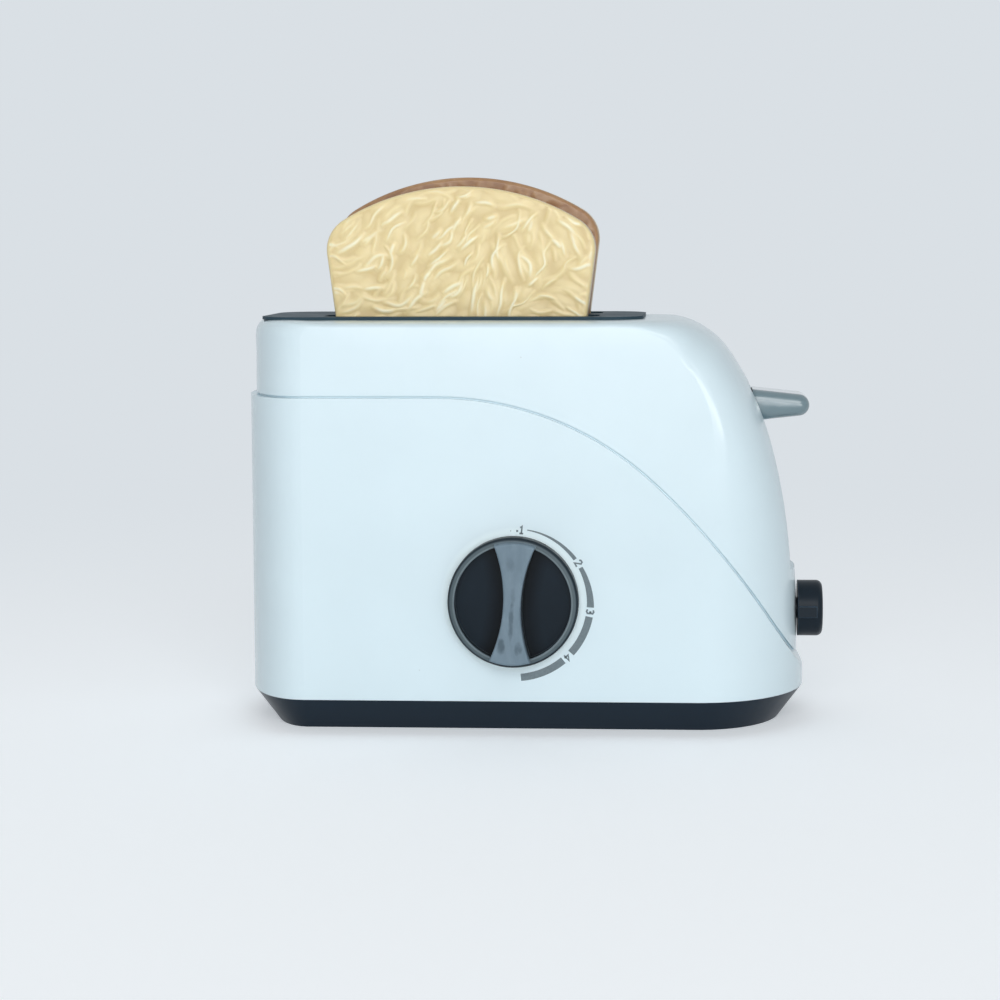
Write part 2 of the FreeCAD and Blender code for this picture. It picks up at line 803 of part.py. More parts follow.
def shell_extras(side):
    """Bosses, feet and channel walls, before they are trimmed to the casing's form."""
    sign = SIDES[side]
    extras = [channel_block(f"{side}_channel", side, "shell_wall")]
    for k, centre in SHELL_BOSSES.items():
        span = towards(side, "0", "half_depth")
        extras.append(cylinder(f"{side}_boss_{k}", "y", centre, span, "boss_radius"))
    for k, x in BASE_SCREWS_X.items():
        z = (f"{LIP_TOP} + seat_gap", "base_boss_top")
        at = (x, f"{sign}base_screw_y")
        extras.append(cylinder(f"{side}_foot_{k}", "z", at, z, "base_boss_radius"))
        rib_y = towards(side, "base_screw_y", "half_depth - shell_wall / 2")
        extras.append(box(f"{side}_rib_{k}", middle(x, "base_rib / 2"), rib_y, z))
    return extras


def shell_holes(side):
    sign = SIDES[side]
    holes = [channel_block(f"{side}_channel_space", side, "0")]
    slot_x = ("channel_wall_x - 2 * shell_wall", "channel_wall_x + shell_wall")
    slot_z = ("neck_bottom - travel - neck_slot_play", "yoke_top + neck_slot_play")
    holes.append(box(f"{side}_neck_slot", slot_x, towards(side, "-1", "neck_slot_width / 2"), slot_z))
    reach = "plate_half_width - plate_ledge + plate_gap"
    holes.append(
        rounded_block(
            f"{side}_top_opening",
            ("plate_left + plate_ledge - plate_gap", "plate_right - plate_ledge + plate_gap"),
            (f"-({reach})", reach),
            ("shell_top - 3 * shell_wall", "shell_top + 1"),
            f"{PLUG_CORNER} + plate_gap",
        )
    )
    knob_x = ("right_end - 12", "right_end + 9")
    knob_bore = "knob_stem_radius + hole_clear"
    holes.append(cylinder(f"{side}_knob_hole", "x", ("0", "timer_z"), knob_x, knob_bore))
    for k, x in BASE_SCREWS_X.items():
        bore_z = ("shell_bottom", "base_screw_top + 1")
        at = (x, f"{sign}base_screw_y")
        holes.append(cylinder(f"{side}_foot_bore_{k}", "z", at, bore_z, "screw_radius"))
    for k, centre in SHELL_BOSSES.items():
        if side == "front":
            pilot = towards(side, "-1", "shell_screw_bite + 1")
            holes.append(cylinder(f"pilot_{k}", "y", centre, pilot, "screw_radius"))
        else:
            clear = towards(side, "-1", "boss_seat + 1")
            sink = towards(side, "boss_seat", "half_depth + 20")
            holes.append(cylinder(f"clear_{k}", "y", centre, clear, SCREW_HOLE))
            holes.append(cylinder(f"sink_{k}", "y", centre, sink, "screw_head_radius + head_clear"))
    return holes


def shell(side, outer_form, inner_form):
    """One half of the casing with its bosses, lever channel and holes."""
    skin = cut(f"{side}_skin", outer_form, inner_form)
    kept = common(f"{side}_extras", fuse(f"{side}_extras_all", *shell_extras(side)), outer_form)
    parts = [skin, kept]
    holes = shell_holes(side)
    if side == "front":
        through = towards(side, "half_depth - 3 * shell_wall", "half_depth + 5")
        dial_bore = "dial_stem_radius + hole_clear"
        holes.append(cylinder("dial_hole", "y", ("dial_x", "dial_z"), through, dial_bore))
        pad = towards(side, WHEEL_BACK, "half_depth - shell_wall / 2")
        parts.append(cylinder("click_pad", "y", CLICK_EYE, pad, "click_eye_radius"))
        bite = towards(side, f"{WHEEL_BACK} - 1", f"{WHEEL_BACK} + click_screw_bite")
        holes.append(cylinder("click_bore", "y", CLICK_EYE, bite, "screw_radius"))
    node(f"{side}_shell", cut(f"{side}_shell_cut", fuse(f"{side}_body", *parts), *holes))


def casing():
    outer = feature("front_form", half_shell_form())
    inner = feature("front_hollow", half_casing(v.shell_wall))
    shell("front", outer, inner)
    shell("rear", mirrored("rear_form", outer), mirrored("rear_hollow", inner))
    length = "boss_seat + shell_screw_bite"
    screws = [screw(f"shell_screw_{k}", "y", c, "boss_seat", "-", length) for k, c in SHELL_BOSSES.items()]
    node("shell_screws", group("shell_screw_set", screws))


def slot_plate():
    """Grey top plate: a rim on the shells, a plug in their opening and four hooks under it."""
    x = ("plate_left", "plate_right")
    y = ("-plate_half_width", "plate_half_width")
    rim = rounded_block("plate_rim", x, y, ("shell_top", "shell_top + plate_rise"), "plate_corner")
    plug_x = ("plate_left + plate_ledge", "plate_right - plate_ledge")
    plug_y = ("plate_ledge - plate_half_width", "plate_half_width - plate_ledge")
    plug_z = (PLATE_UNDER, "shell_top + plate_rise / 2")
    parts = [rim, rounded_block("plate_plug", plug_x, plug_y, plug_z, PLUG_CORNER)]
    low = f"{PLATE_UNDER} - hook_drop"
    for end, edge, inward, outward in (("left", plug_x[0], "+", "-"), ("right", plug_x[1], "-", "+")):
        inner, outer = f"{edge} {inward} hook_nose", f"{edge} {outward} hook_nose"
        stem_x, nose_x = (edge, inner), (outer, inner)
        if end == "right":
            stem_x, nose_x = stem_x[::-1], nose_x[::-1]
        for side, sign in SIDES.items():
            name = f"hook_{end}_{side}"
            hook_y = middle(f"{sign}hook_y", "hook_width / 2")
            parts.append(box(name + "_stem", stem_x, hook_y, (low, f"{PLATE_UNDER} + 1")))
            nose_z = (low, "shell_top - shell_wall - seat_gap")
            parts.append(box(name + "_nose", nose_x, hook_y, nose_z))
    holes = []
    for side, sign in SIDES.items():
        mid = f"{sign}slot_pitch / 2"
        slot_z = (f"{PLATE_UNDER} - 1", "shell_top + plate_rise + 1")
        slot_y = middle(mid, "slot_width / 2")
        holes.append(rounded_block(f"slot_{side}", (SLOT_LEFT, SLOT_RIGHT), slot_y, slot_z, "slot_corner"))
        for name, centre in well_screw_places(side):
            bite = (f"{PLATE_UNDER} - 1", f"{PLATE_UNDER} + well_screw_bite")
            holes.append(cylinder(f"plate_bore_{name}", "z", centre, bite, "screw_radius"))
    node("slot_plate", cut("slot_plate_cut", fuse("plate_body", *parts), *holes))


def well_screw_places(side):
    mid = f"{SIDES[side]}slot_pitch / 2"
    for end, x in WELL_SCREWS_X.items():
        for row, way in (("near", "-"), ("far", "+")):
            yield f"{side}_{end}_{row}", (x, f"{mid} {way} well_screw_spread")


def wells():
    """Liners under the slots, open at the bottom, with a slit for the bread rest's arm."""
    screws = []
    for side, sign in SIDES.items():
        name = f"{side}_well"
        mid = f"{sign}slot_pitch / 2"
        outer_x = (f"{SLOT_LEFT} - well_wall", f"{SLOT_RIGHT} + well_wall")
        outer_y = middle(mid, "slot_width / 2 + well_wall")
        liner_z = ("well_bottom", PLATE_UNDER)
        liner = rounded_block(name + "_outer", outer_x, outer_y, liner_z, "slot_corner + well_wall")
        flange = box(
            name + "_flange",
            (f"{outer_x[0]} - flange_ear", f"{outer_x[1]} + flange_ear"),
            middle(mid, "slot_width / 2 + well_wall + flange_out"),
            (f"{PLATE_UNDER} - flange_height", PLATE_UNDER),
        )
        space_z = ("well_bottom - 1", f"{PLATE_UNDER} + 1")
        space_y = middle(mid, "slot_width / 2")
        holes = [rounded_block(name + "_space", (SLOT_LEFT, SLOT_RIGHT), space_y, space_z, "slot_corner")]
        slit_x = (f"{SLOT_RIGHT} - 1", f"{SLOT_RIGHT} + well_wall + 1")
        slit_z = ("well_bottom - 1", "rest_top + rest_step + slit_play")
        holes.append(box(name + "_slit", slit_x, middle(mid, "arm_slit / 2"), slit_z))
        bore_x = (f"{SLOT_RIGHT} + 0.1", f"{SLOT_RIGHT} + well_wall + 1")
        holes.append(cylinder(name + "_bore", "x", (mid, "bracket_screw_z"), bore_x, "screw_radius"))
        seat = f"{PLATE_UNDER} - flange_height"
        for place_name, centre in well_screw_places(side):
            clear_z = (f"{seat} - 1", f"{PLATE_UNDER} + 1")
            holes.append(cylinder(f"{place_name}_clear", "z", centre, clear_z, SCREW_HOLE))
            length = "flange_height + well_screw_bite"
            screws.append(screw(f"well_screw_{place_name}", "z", centre, seat, "+", length))
        node(f"{side}_bread_well", cut(name + "_cut", fuse(name + "_body", liner, flange), *holes))
    node("well_screws", group("well_screw_set", screws))


def tray():
    """The dark base: floor, tapered wall, lip, posts for the screws and bosses for the rods."""
    top = v.shell_bottom
    slope = v.tray_taper / top
    low_inset = v.tray_taper - slope * v.tray_floor + v.tray_wall
    high_inset = v.field_proud_end + v.shell_wall + v.lip_gap
    outer = tray_loft(0, top, v.tray_taper, 0)
    hollow = tray_loft(v.tray_floor, top + 0.1, low_inset, high_inset)
    low, high = top - v.tray_wall, top + v.lip_height
    lip = lip_loft(low, high, v.lip_gap).cut(lip_loft(low - 5, high + 5, v.lip_gap + v.lip_wall))
    parts = [feature("tray_dish", outer.cut(hollow).fuse(lip))]
    holes = []
    for k, x in BASE_SCREWS_X.items():
        for side, sign in SIDES.items():
            at = (x, f"{sign}base_screw_y")
            name = f"tray_{k}_{side}"
            parts.append(cylinder(name + "_post", "z", at, ("0", LIP_TOP), "base_post_radius"))
            sink = ("-1", "base_screw_seat")
            holes.append(cylinder(name + "_sink", "z", at, sink, "screw_head_radius + head_clear"))
            holes.append(cylinder(name + "_clear", "z", at, ("0", f"{LIP_TOP} + 1"), SCREW_HOLE))
    for side, sign in SIDES.items():
        at = (ROD_X, f"{sign}rod_y")
        parts.append(cylinder(f"tray_{side}_rod", "z", at, ("0", "rod_boss_top"), "rod_boss_radius"))
        foot = ("rod_foot", "rod_boss_top + 1")
        holes.append(cylinder(f"tray_{side}_rod_hole", "z", at, foot, "rod_radius"))
    for k, y in HAMMER_EARS.items():
        ear_z = ("tray_floor / 2", "hammer_z + pin_radius + ear_thickness")
        parts.append(box(f"tray_ear_{k}", middle("hammer_x", "hammer_hub_radius"), y, ear_z))
    ear_bore = (f"{HAMMER_EARS['front'][0]} - 1", f"{HAMMER_EARS['rear'][1]} + 1")
    holes.append(cylinder("tray_ear_bore", "y", ("hammer_x", "hammer_z"), ear_bore, "pin_radius"))
    post_z = ("tray_floor / 2", "bell_rim_z + bell_height - bell_wall")
    parts.append(cylinder("bell_post", "z", ("bell_x", "0"), post_z, "bell_post_radius"))
    bore = ("tray_floor + 2", f"{post_z[1]} + 1")
    holes.append(cylinder("bell_post_bore", "z", ("bell_x", "0"), bore, "screw_radius"))
    for which in TIMER_PLATES:
        for side in SIDES:
            bite = ("tray_floor - timer_screw_bite", "tray_floor + 1")
            at = timer_foot(which, side)
            holes.append(cylinder(f"tray_{which}_{side}", "z", at, bite, "screw_radius"))
    node("base_tray", cut("tray_cut", fuse("tray_body", *parts), *holes))
    screws = []
    for k, x in BASE_SCREWS_X.items():
        for side, sign in SIDES.items():
            length = "base_screw_top - base_screw_seat"
            at = (x, f"{sign}base_screw_y")
            screws.append(screw(f"base_screw_{k}_{side}", "z", at, "base_screw_seat", "+", length))
    node("base_screws", group("base_screw_set", screws))


# Bread slices


def slice_block(outer_face, inset):
    """Half a slice standing on its foot at the origin, drawn in by inset. Its rounded face is
    towards -Y when outer_face is -1 and towards +Y when it is 1, and its flat face is at Y = 0."""
    thickness = v.slice_thickness / 2 - inset
    foot, wide = v.slice_foot / 2 - inset, v.slice_width / 2 - inset
    crown = v.slice_crown_radius - inset
    top_z = v.slice_height - inset
    corner_z = top_z - crown + math.sqrt(crown**2 - wide**2)
    corners = [Vector(x, 0, inset) for x in (-foot, foot)]
    corners += [Vector(x, 0, corner_z) for x in (wide, -wide)]
    edges = [Part.makeLine(corners[i - 1], corners[i]) for i in range(3)]
    edges.append(Part.Arc(corners[2], Vector(0, 0, top_z), corners[3]).toShape())
    face = Part.Face(Part.Wire(Part.__sortEdges__(edges)))
    block = face.extrude(Vector(0, outer_face * thickness, 0))
    rounds = ((inset, v.slice_foot_radius), (corner_z, v.slice_corner_radius))
    for level, radius in rounds:
        upright = [e for e in block.Edges if along_y(e) and abs(e.CenterOfMass.z - level) < 1]
        block = block.makeFillet(max(radius - inset, 1.0), upright)
    rim = [e for e in block.Edges if abs(e.BoundBox.YMin - e.BoundBox.YMax) < 0.01]
    rim = [e for e in rim if abs(e.CenterOfMass.y) > thickness / 2]
    return block.makeFillet(max(v.slice_round - inset, 0.3), rim)


def slice_half(outer_face):
    """One thin-walled moulding that is open on its flat face."""
    return slice_block(outer_face, 0.0).cut(slice_block(outer_face, v.slice_wall))


def along_y(edge):
    if len(edge.Vertexes) < 2:
        return False
    start, end = edge.Vertexes[0].Point, edge.Vertexes[1].Point
    return abs(end.y - start.y) > 0.99 * edge.Length


def slices():
    for side, toasted_face in (("front", 1), ("rear", -1)):
        y = v.slot_pitch / 2 * (-1 if side == "front" else 1)
        z = v.rest_top + (v.rest_step if side == "rear" else 0)
        at = Placement(Vector(v.slice_centre_x, y, z), Rotation())
        cream = feature(f"{side}_cream", slice_half(-toasted_face), at)
        toasted = feature(f"{side}_toasted", slice_half(toasted_face), at)
        node(f"{side}_slice_cream", cream)
        node(f"{side}_slice_toasted", toasted)


# Bread lift


def carriage():
    """Bread rests, cross plate, bushings, lever neck and catch arm in one moulding."""
    yoke_x = (YOKE_X, f"{YOKE_X} + yoke_thickness")
    yoke_y = ("-yoke_half_width", "yoke_half_width")
    parts = [box("yoke", yoke_x, yoke_y, ("rest_top - arm_depth", "yoke_top"))]
    bores = []
    rest_end = "(slice_centre_x + rest_length / 2)"
    for side, sign in SIDES.items():
        mid = f"{sign}slot_pitch / 2"
        top = "rest_top" if side == "front" else "rest_top + rest_step"
        rest_x = ("slice_centre_x - rest_length / 2", rest_end)
        rest_z = ("rest_top - rest_thickness", top)
        parts.append(box(f"rest_{side}", rest_x, middle(mid, "rest_width / 2"), rest_z))
        arm_x = (f"{rest_end} - 1", f"{YOKE_X} + 1")
        arm_z = ("rest_top - arm_depth", top)
        parts.append(box(f"arm_{side}", arm_x, middle(mid, "arm_width / 2"), arm_z))
        at = (ROD_X, f"{sign}rod_y")
        height = ("bushing_bottom", "yoke_top")
        parts.append(cylinder(f"bushing_{side}", "z", at, height, "bushing_radius"))
        web_y = middle(at[1], "web_thickness / 2")
        parts.append(box(f"web_{side}", (f"{YOKE_X} + 1", ROD_X), web_y, height))
        bore_z = ("bushing_bottom - 5", "yoke_top + 5")
        bores.append(cylinder(f"bushing_bore_{side}", "z", at, bore_z, "rod_radius + rod_fit"))
    neck_x = (f"{YOKE_X} + 1", HANDLE_ROOT)
    parts.append(box("neck", neck_x, middle("0", "neck_width / 2"), ("neck_bottom", "yoke_top")))
    catch_y = middle("catch_y", "catch_width / 2")
    parts.append(box("catch", (f"{YOKE_X} + 1", "catch_end_x"), catch_y, ("catch_bottom", "catch_top")))
    mouth_x = ("catch_end_x - catch_mouth_depth", "catch_end_x + 1")
    mouth_z = middle("(catch_bottom + catch_top) / 2", "catch_mouth / 2")
    bores.append(box("catch_mouth_space", mouth_x, middle("catch_y", "catch_width"), mouth_z))
    window_x = ("neck_window_x", "neck_window_x + neck_window_length")
    window_z = middle("handle_centre_z", "neck_window_height / 2")
    bores.append(box("neck_window", window_x, middle("0", "neck_width"), window_z))
    seat = "neck_window_x + neck_window_length"
    at = ("0", "handle_centre_z")
    bores.append(cylinder("neck_bore", "x", at, (f"{seat} - 1", f"{HANDLE_ROOT} + 1"), SCREW_HOLE))
    node("carriage", cut("carriage_cut", fuse("carriage_body", *parts), *bores))
    length = f"{HANDLE_ROOT} - ({seat}) + handle_screw_bite"
    node("lever_screw", screw("handle_screw", "x", at, seat, "+", length))


def handle_shape():
    """Wide paddle that tapers from its root to a round tip."""
    root = v.channel_wall_x + v.handle_gap
    half, radius = v.handle_root_height / 2, v.handle_tip_radius
    tip_centre = Vector(v.handle_tip_x - radius, 0, v.handle_centre_z)
    run = tip_centre.x - root
    lean = math.atan2(-half, run) + math.asin(radius / math.hypot(run, half))
    touch = [Vector(-math.sin(lean), 0, s * math.cos(lean)) * radius + tip_centre for s in (1, -1)]
    corners = [Vector(root, 0, v.handle_centre_z + s * half) for s in (1, -1)]
    edges = [
        Part.makeLine(corners[0], touch[0]),
        Part.Arc(touch[0], tip_centre + Vector(radius, 0, 0), touch[1]).toShape(),
        Part.makeLine(touch[1], corners[1]),
        Part.makeLine(corners[1], corners[0]),
    ]
    block = Part.Face(Part.Wire(edges)).extrude(Vector(0, v.handle_width, 0))
    block.translate(Vector(0, -v.handle_width / 2, 0))
    sides = [e for e in block.Edges if abs(abs(e.CenterOfMass.y) - v.handle_width / 2) < 0.01]
    sides = [e for e in sides if e.CenterOfMass.x > root + 0.01]
    return block.makeFillet(v.handle_round, sides)


def lever():
    paddle = feature("paddle", handle_shape())
    bite = (f"{HANDLE_ROOT} - 1", f"{HANDLE_ROOT} + handle_screw_bite")
    bore = cylinder("paddle_bore", "x", ("0", "handle_centre_z"), bite, "screw_radius")
    node("lever_handle", cut("paddle_cut", paddle, bore))


def lift_spring(side):
    """Open compression spring between the tray's boss and the carriage's bushing."""
    name = f"{side}_spring"
    low = "rod_boss_top + spring_wire + spring_gap / 2"
    height = "bushing_bottom - rod_boss_top - 2 * spring_wire - spring_gap"
    helix = doc.addObject("Part::Helix", name + "_helix")
    bind(helix, "Pitch", f"({height}) / spring_turns")
    bind(helix, "Height", height)
    bind(helix, "Radius", "spring_radius")
    wire = doc.addObject("Part::Circle", name + "_wire")
    bind(wire, "Radius", "spring_wire")
    wire.Placement = Placement(Vector(), Rotation(Vector(1, 0, 0), 90))
    bind(wire, "Placement.Base.x", "spring_radius")
    coil = doc.addObject("Part::Sweep", name)
    coil.Sections = [wire]
    coil.Spine = (helix, [])
    coil.Solid = True
    coil.Frenet = True
    place(coil, "z", (ROD_X, f"{SIDES[side]}rod_y"), low)
    return node(f"{side}_lift_spring", coil)


def ring(name, axis, centre, span, outer, inner):
    body = cylinder(name + "_disc", axis, centre, span, outer)
    return cut(name, body, cylinder(name + "_bore", axis, centre, middle_of(span, "1"), inner))


def middle_of(span, more):
    return (f"{span[0]} - ({more})", f"{span[1]} + ({more})")


def rods():
    stops, clips, screws, holes = [], [], [], []
    plate_top = "(bracket_bottom + bracket_thickness)"
    wall_x = f"({SLOT_RIGHT} + well_wall)"
    flange_face = f"({wall_x} + bracket_upright)"
    for side, sign in SIDES.items():
        at = (ROD_X, f"{sign}rod_y")
        node(f"{side}_guide_rod", cylinder(f"{side}_rod", "z", at, ("rod_foot", "rod_top"), "rod_radius"))
        lift_spring(side)
        stop_z = ("bracket_bottom - stop_height", "bracket_bottom")
        stops.append(ring(f"stop_{side}", "z", at, stop_z, "bushing_radius", "rod_radius"))
        clip_z = (plate_top, f"{plate_top} + clip_height")
        clips.append(ring(f"clip_{side}", "z", at, clip_z, "bushing_radius", "rod_radius"))
        hole_z = ("bracket_bottom - 1", f"{plate_top} + 1")
        holes.append(cylinder(f"bracket_hole_{side}", "z", at, hole_z, "rod_radius"))
        screw_at = (f"{sign}slot_pitch / 2", "bracket_screw_z")
        hole_x = (f"{wall_x} - 1", f"{flange_face} + 1")
        holes.append(cylinder(f"bracket_clear_{side}", "x", screw_at, hole_x, SCREW_HOLE))
        length = "bracket_upright + well_wall - 0.1"
        screws.append(screw(f"bracket_screw_{side}", "x", screw_at, flange_face, "-", length))
    y = ("-bracket_half_width", "bracket_half_width")
    plate = box("bracket_plate", (wall_x, f"{wall_x} + bracket_length"), y, ("bracket_bottom", plate_top))
    flange = box("bracket_flange", (wall_x, flange_face), y, ("bracket_bottom", "bracket_top"))
    node("rod_bracket", cut("bracket", fuse("bracket_body", plate, flange), *holes))
    node("bump_stops", group("stop_set", stops))
    node("rod_clips", group("clip_set", clips))
    node("bracket_screws", group("bracket_screw_set", screws))


# Latch, with its pin and spring


def torsion_coil(name, centre, low):
    """Small spring around a pin that lies across the casing, with one leg up and one down."""
    mean = v.pin_radius + 0.4 + v.coil_wire
    height = v.coil_pitch * v.coil_turns
    slope = v.coil_pitch / (2 * math.pi * mean)
    parts = []
    start, end = Vector(mean, 0, 0), Vector(mean, 0, height)
    circle = Part.Wire(Part.makeCircle(v.coil_wire, start, Vector(0, 1, slope)))
    helix = Part.Wire(Part.makeHelix(v.coil_pitch, height, mean))
    parts.append(helix.makePipeShell([circle], True, True))
    for point, way in ((start, -1), (end, 1)):
        leg = Part.makeCylinder(v.coil_wire, v.coil_leg, point, Vector(0, way, 0))
        parts.append(leg)
    coil = parts[0].fuse(parts[1:])
    made = feature(name, coil)
    place(made, "y", centre, low)
    return made


def latch():
    at = ("latch_x", "latch_z")
    bar_x = middle("latch_x", "latch_thickness / 2")
    nose_z = ("latch_nose_bottom", "latch_nose_top")
    parts = [
        cylinder("latch_hub", "y", at, LATCH_Y, "latch_hub_radius"),
        box("latch_bar", bar_x, LATCH_Y, ("latch_z", "latch_nose_top")),
        box("latch_nose", ("latch_nose_x", bar_x[1]), LATCH_Y, nose_z),
    ]
    bore = cylinder("latch_bore", "y", at, middle_of(LATCH_Y, "1"), "pin_radius + pin_fit")
    node("latch_lever", cut("latch", fuse("latch_body", *parts), bore))
    pin = (f"{LATCH_EARS['front'][0]} - pin_end", f"{LATCH_EARS['rear'][1]} + pin_end")
    node("latch_pin", cylinder("latch_pin_bar", "y", at, pin, "pin_radius"))
    low = f"{LATCH_EARS['front'][1]} + (coil_room + ear_gap - coil_pitch * coil_turns) / 2"
    node("latch_spring", torsion_coil("latch_coil", at, low))


# Timer


def timer_plate(which):
    x, way, foot_y = TIMER_PLATES[which]
    face = f"{x} + timer_plate_thickness"
    y = ("-timer_plate_half", "timer_plate_half")
    parts = [box(f"{which}_plate_sheet", (x, face), y, ("timer_plate_low", "timer_plate_top"))]
    through = middle_of((x, face), "1")
    shaft_bore = "shaft_radius + arbor_fit"
    holes = [cylinder(f"{which}_shaft_hole", "x", ("0", "timer_z"), through, shaft_bore)]
    foot_x = (f"{x} - timer_flange", face) if way == "-" else (x, f"{face} + timer_flange")
    for side, sign in SIDES.items():
        leg_y = middle(f"{sign}{foot_y}", "timer_foot_width / 2")
        leg_z = ("tray_floor", "timer_plate_low + 1")
        foot_z = ("tray_floor", "tray_floor + timer_flange_height")
        parts.append(box(f"{which}_leg_{side}", (x, face), leg_y, leg_z))
        parts.append(box(f"{which}_foot_{side}", foot_x, leg_y, foot_z))
        at = timer_foot(which, side)
        clear_z = ("tray_floor - 1", "tray_floor + timer_flange_height + 1")
        holes.append(cylinder(f"{which}_clear_{side}", "z", at, clear_z, SCREW_HOLE))
        for level in ("low", "high"):
            at = (f"{sign}pillar_y", f"pillar_{level}")
            holes.append(cylinder(f"{which}_rivet_{side}_{level}", "x", at, through, "arbor_radius"))
    for name, at in (("second", SECOND), ("escape", ESCAPE), ("pallet", PALLET)):
        arbor_bore = "arbor_radius + arbor_fit"
        holes.append(cylinder(f"{which}_{name}_hole", "x", at, through, arbor_bore))
    if which == "inner":
        for k, y in LATCH_EARS.items():
            ear_x = ("latch_x - latch_hub_radius", f"{x} + 1")
            parts.append(box(f"latch_ear_{k}", ear_x, y, middle("latch_z", "latch_hub_radius")))
        span = (f"{LATCH_EARS['front'][0]} - 1", f"{LATCH_EARS['rear'][1]} + 1")
        holes.append(cylinder("latch_ear_bore", "y", ("latch_x", "latch_z"), span, "pin_radius"))
    node(f"timer_{which}_plate", cut(f"{which}_plate", fuse(f"{which}_plate_body", *parts), *holes))


def involute(angle):
    return math.tan(angle) - angle


def gear_shape(teeth, first_tooth, thickness, bore=0.0):
    """Spur gear around Z with involute flanks: first_tooth is the way of one tooth, in degrees."""
    module = v.gear_module
    pressure = math.radians(25)
    pitch_radius = module * teeth / 2
    base = pitch_radius * math.cos(pressure)
    outer = pitch_radius + 0.8 * module
    root = pitch_radius - 1.05 * module
    half_pitch = math.pi / (2 * teeth) - v.gear_backlash / (4 * pitch_radius)

    def half_width(radius):
        turn = math.acos(min(1.0, base / radius))
        return half_pitch + involute(pressure) - involute(turn)

    def at(radius, angle):
        return Vector(radius * math.cos(angle), radius * math.sin(angle), 0)

    start = max(base, root)  # where the involute begins
    flank = [start + (outer - start) * share for share in (0.0, 0.5, 1.0)]
    edges = []
    for i in range(teeth):
        centre = math.radians(first_tooth) + 2 * math.pi * i / teeth
        after = centre + 2 * math.pi / teeth
        up = [at(radius, centre - half_width(radius)) for radius in flank]
        down = [at(radius, centre + half_width(radius)) for radius in reversed(flank)]
        foot_up = at(root, centre - half_width(start))
        foot_down = at(root, centre + half_width(start))
        foot_next = at(root, after - half_width(start))
        if base > root:
            edges.append(Part.makeLine(foot_up, up[0]))
        edges.append(Part.Arc(*up).toShape())
        edges.append(Part.Arc(up[-1], at(outer, centre), down[0]).toShape())
        edges.append(Part.Arc(*down).toShape())
        if base > root:
            edges.append(Part.makeLine(down[-1], foot_down))
        edges.append(Part.Arc(foot_down, at(root, (centre + after) / 2), foot_next).toShape())
    gear = Part.Face(Part.Wire(edges)).extrude(Vector(0, 0, thickness))
    if bore:
        gear = gear.cut(Part.makeCylinder(bore, thickness))
    return gear


def on_shaft(name, shape, centre, x):
    """Sets a shape that was made around +Z on an axis along X. Its own Y stays the casing's Y,
    and its own X points down."""
    made = feature(name, shape)
    place(made, "x", centre, x)
    return made


def seen_turn(turn):
    """Way from +Y towards +Z, in degrees, as a way in a shape's own XY plane."""
    return 90 + turn


def spiral_shape():
    """Mainspring: half rings that grow by half a pitch, with a tab at the outer end."""
    strip, pitch = v.mainspring_strip, v.mainspring_pitch
    width = v.mainspring_width
    halves = []
    for i in range(int(2 * v.mainspring_turns)):
        radius = v.mainspring_start + i * pitch / 2
        shift = Vector(pitch / 2 if i % 2 else 0, 0, 0)
        outer = Part.makeCylinder(radius + strip / 2, width, shift, Vector(0, 0, 1), 180)
        half = outer.cut(Part.makeCylinder(radius - strip / 2, width, shift))
        if i % 2:
            half.rotate(shift, Vector(0, 0, 1), 180)
        halves.append(half)
        end = shift + Vector(radius, 0, 0)
    to_plate = v.mainspring_x - v.inner_plate_x - v.timer_plate_thickness
    tab = Part.makeBox(strip, 2.4, width + to_plate, end + Vector(-strip / 2, -1.2, -to_plate))
    return halves[0].fuse(halves[1:] + [tab]).removeSplitter()


def escape_shape():
    """Wheel with pointed teeth that lean one way."""
    points = []
    step = 2 * math.pi / v.escape_teeth
    tooth = ((v.escape_radius, 0.0), (v.escape_radius - 0.1, 0.08), (0.76 * v.escape_radius, 0.35))
    for i in range(int(v.escape_teeth)):
        for radius, share in tooth:
            angle = step * (i + share)
            points.append(Vector(radius * math.cos(angle), radius * math.sin(angle), 0))
    points.append(points[0])
    wheel = Part.Face(Part.makePolygon(points)).extrude(Vector(0, 0, v.escape_thickness))
    for i in range(5):
        angle = 2 * math.pi * i / 5
        hole = Vector(math.cos(angle), math.sin(angle), 0) * 0.45 * v.escape_radius
        wheel = wheel.cut(Part.makeCylinder(1.1, v.escape_thickness, hole))
    return wheel


def bar(start, end, radius, depth):
    """A flat bar with round ends between two points of the XY plane, depth thick along +Z."""
    way = (end - start).normalize()
    side = Vector(-way.y, way.x, 0) * radius
    edges = [
        Part.makeLine(start + side, end + side),
        Part.Arc(end + side, end + way * radius, end - side).toShape(),
        Part.makeLine(end - side, start - side),
        Part.Arc(start - side, start - way * radius, start + side).toShape(),
    ]
    return Part.Face(Part.Wire(edges)).extrude(Vector(0, 0, depth))


def pallet_shape():
    """Rocker with two pins that stand on both sides of the escape wheel's rim."""
    pin, depth = v.pallet_pin_radius, v.escape_thickness
    shape = Part.makeCylinder(2.2, depth)
    reach = v.escape_radius + v.pallet_gap + pin
    for sign in (1, -1):
        angle = math.radians(v.pallet_spread) * sign
        end = Vector(-reach * math.sin(angle), reach * math.cos(angle) - v.pallet_reach, 0)
        shape = shape.fuse(bar(Vector(), end, pin, depth))
    return shape.removeSplitter()


def top_rims(disc, height):
    """The round edges of the upper face of a disc that stands on Z = 0."""
    closed = [e for e in disc.Edges if len(e.Vertexes) == 1]
    return [e for e in closed if e.CenterOfMass.z > height / 2]


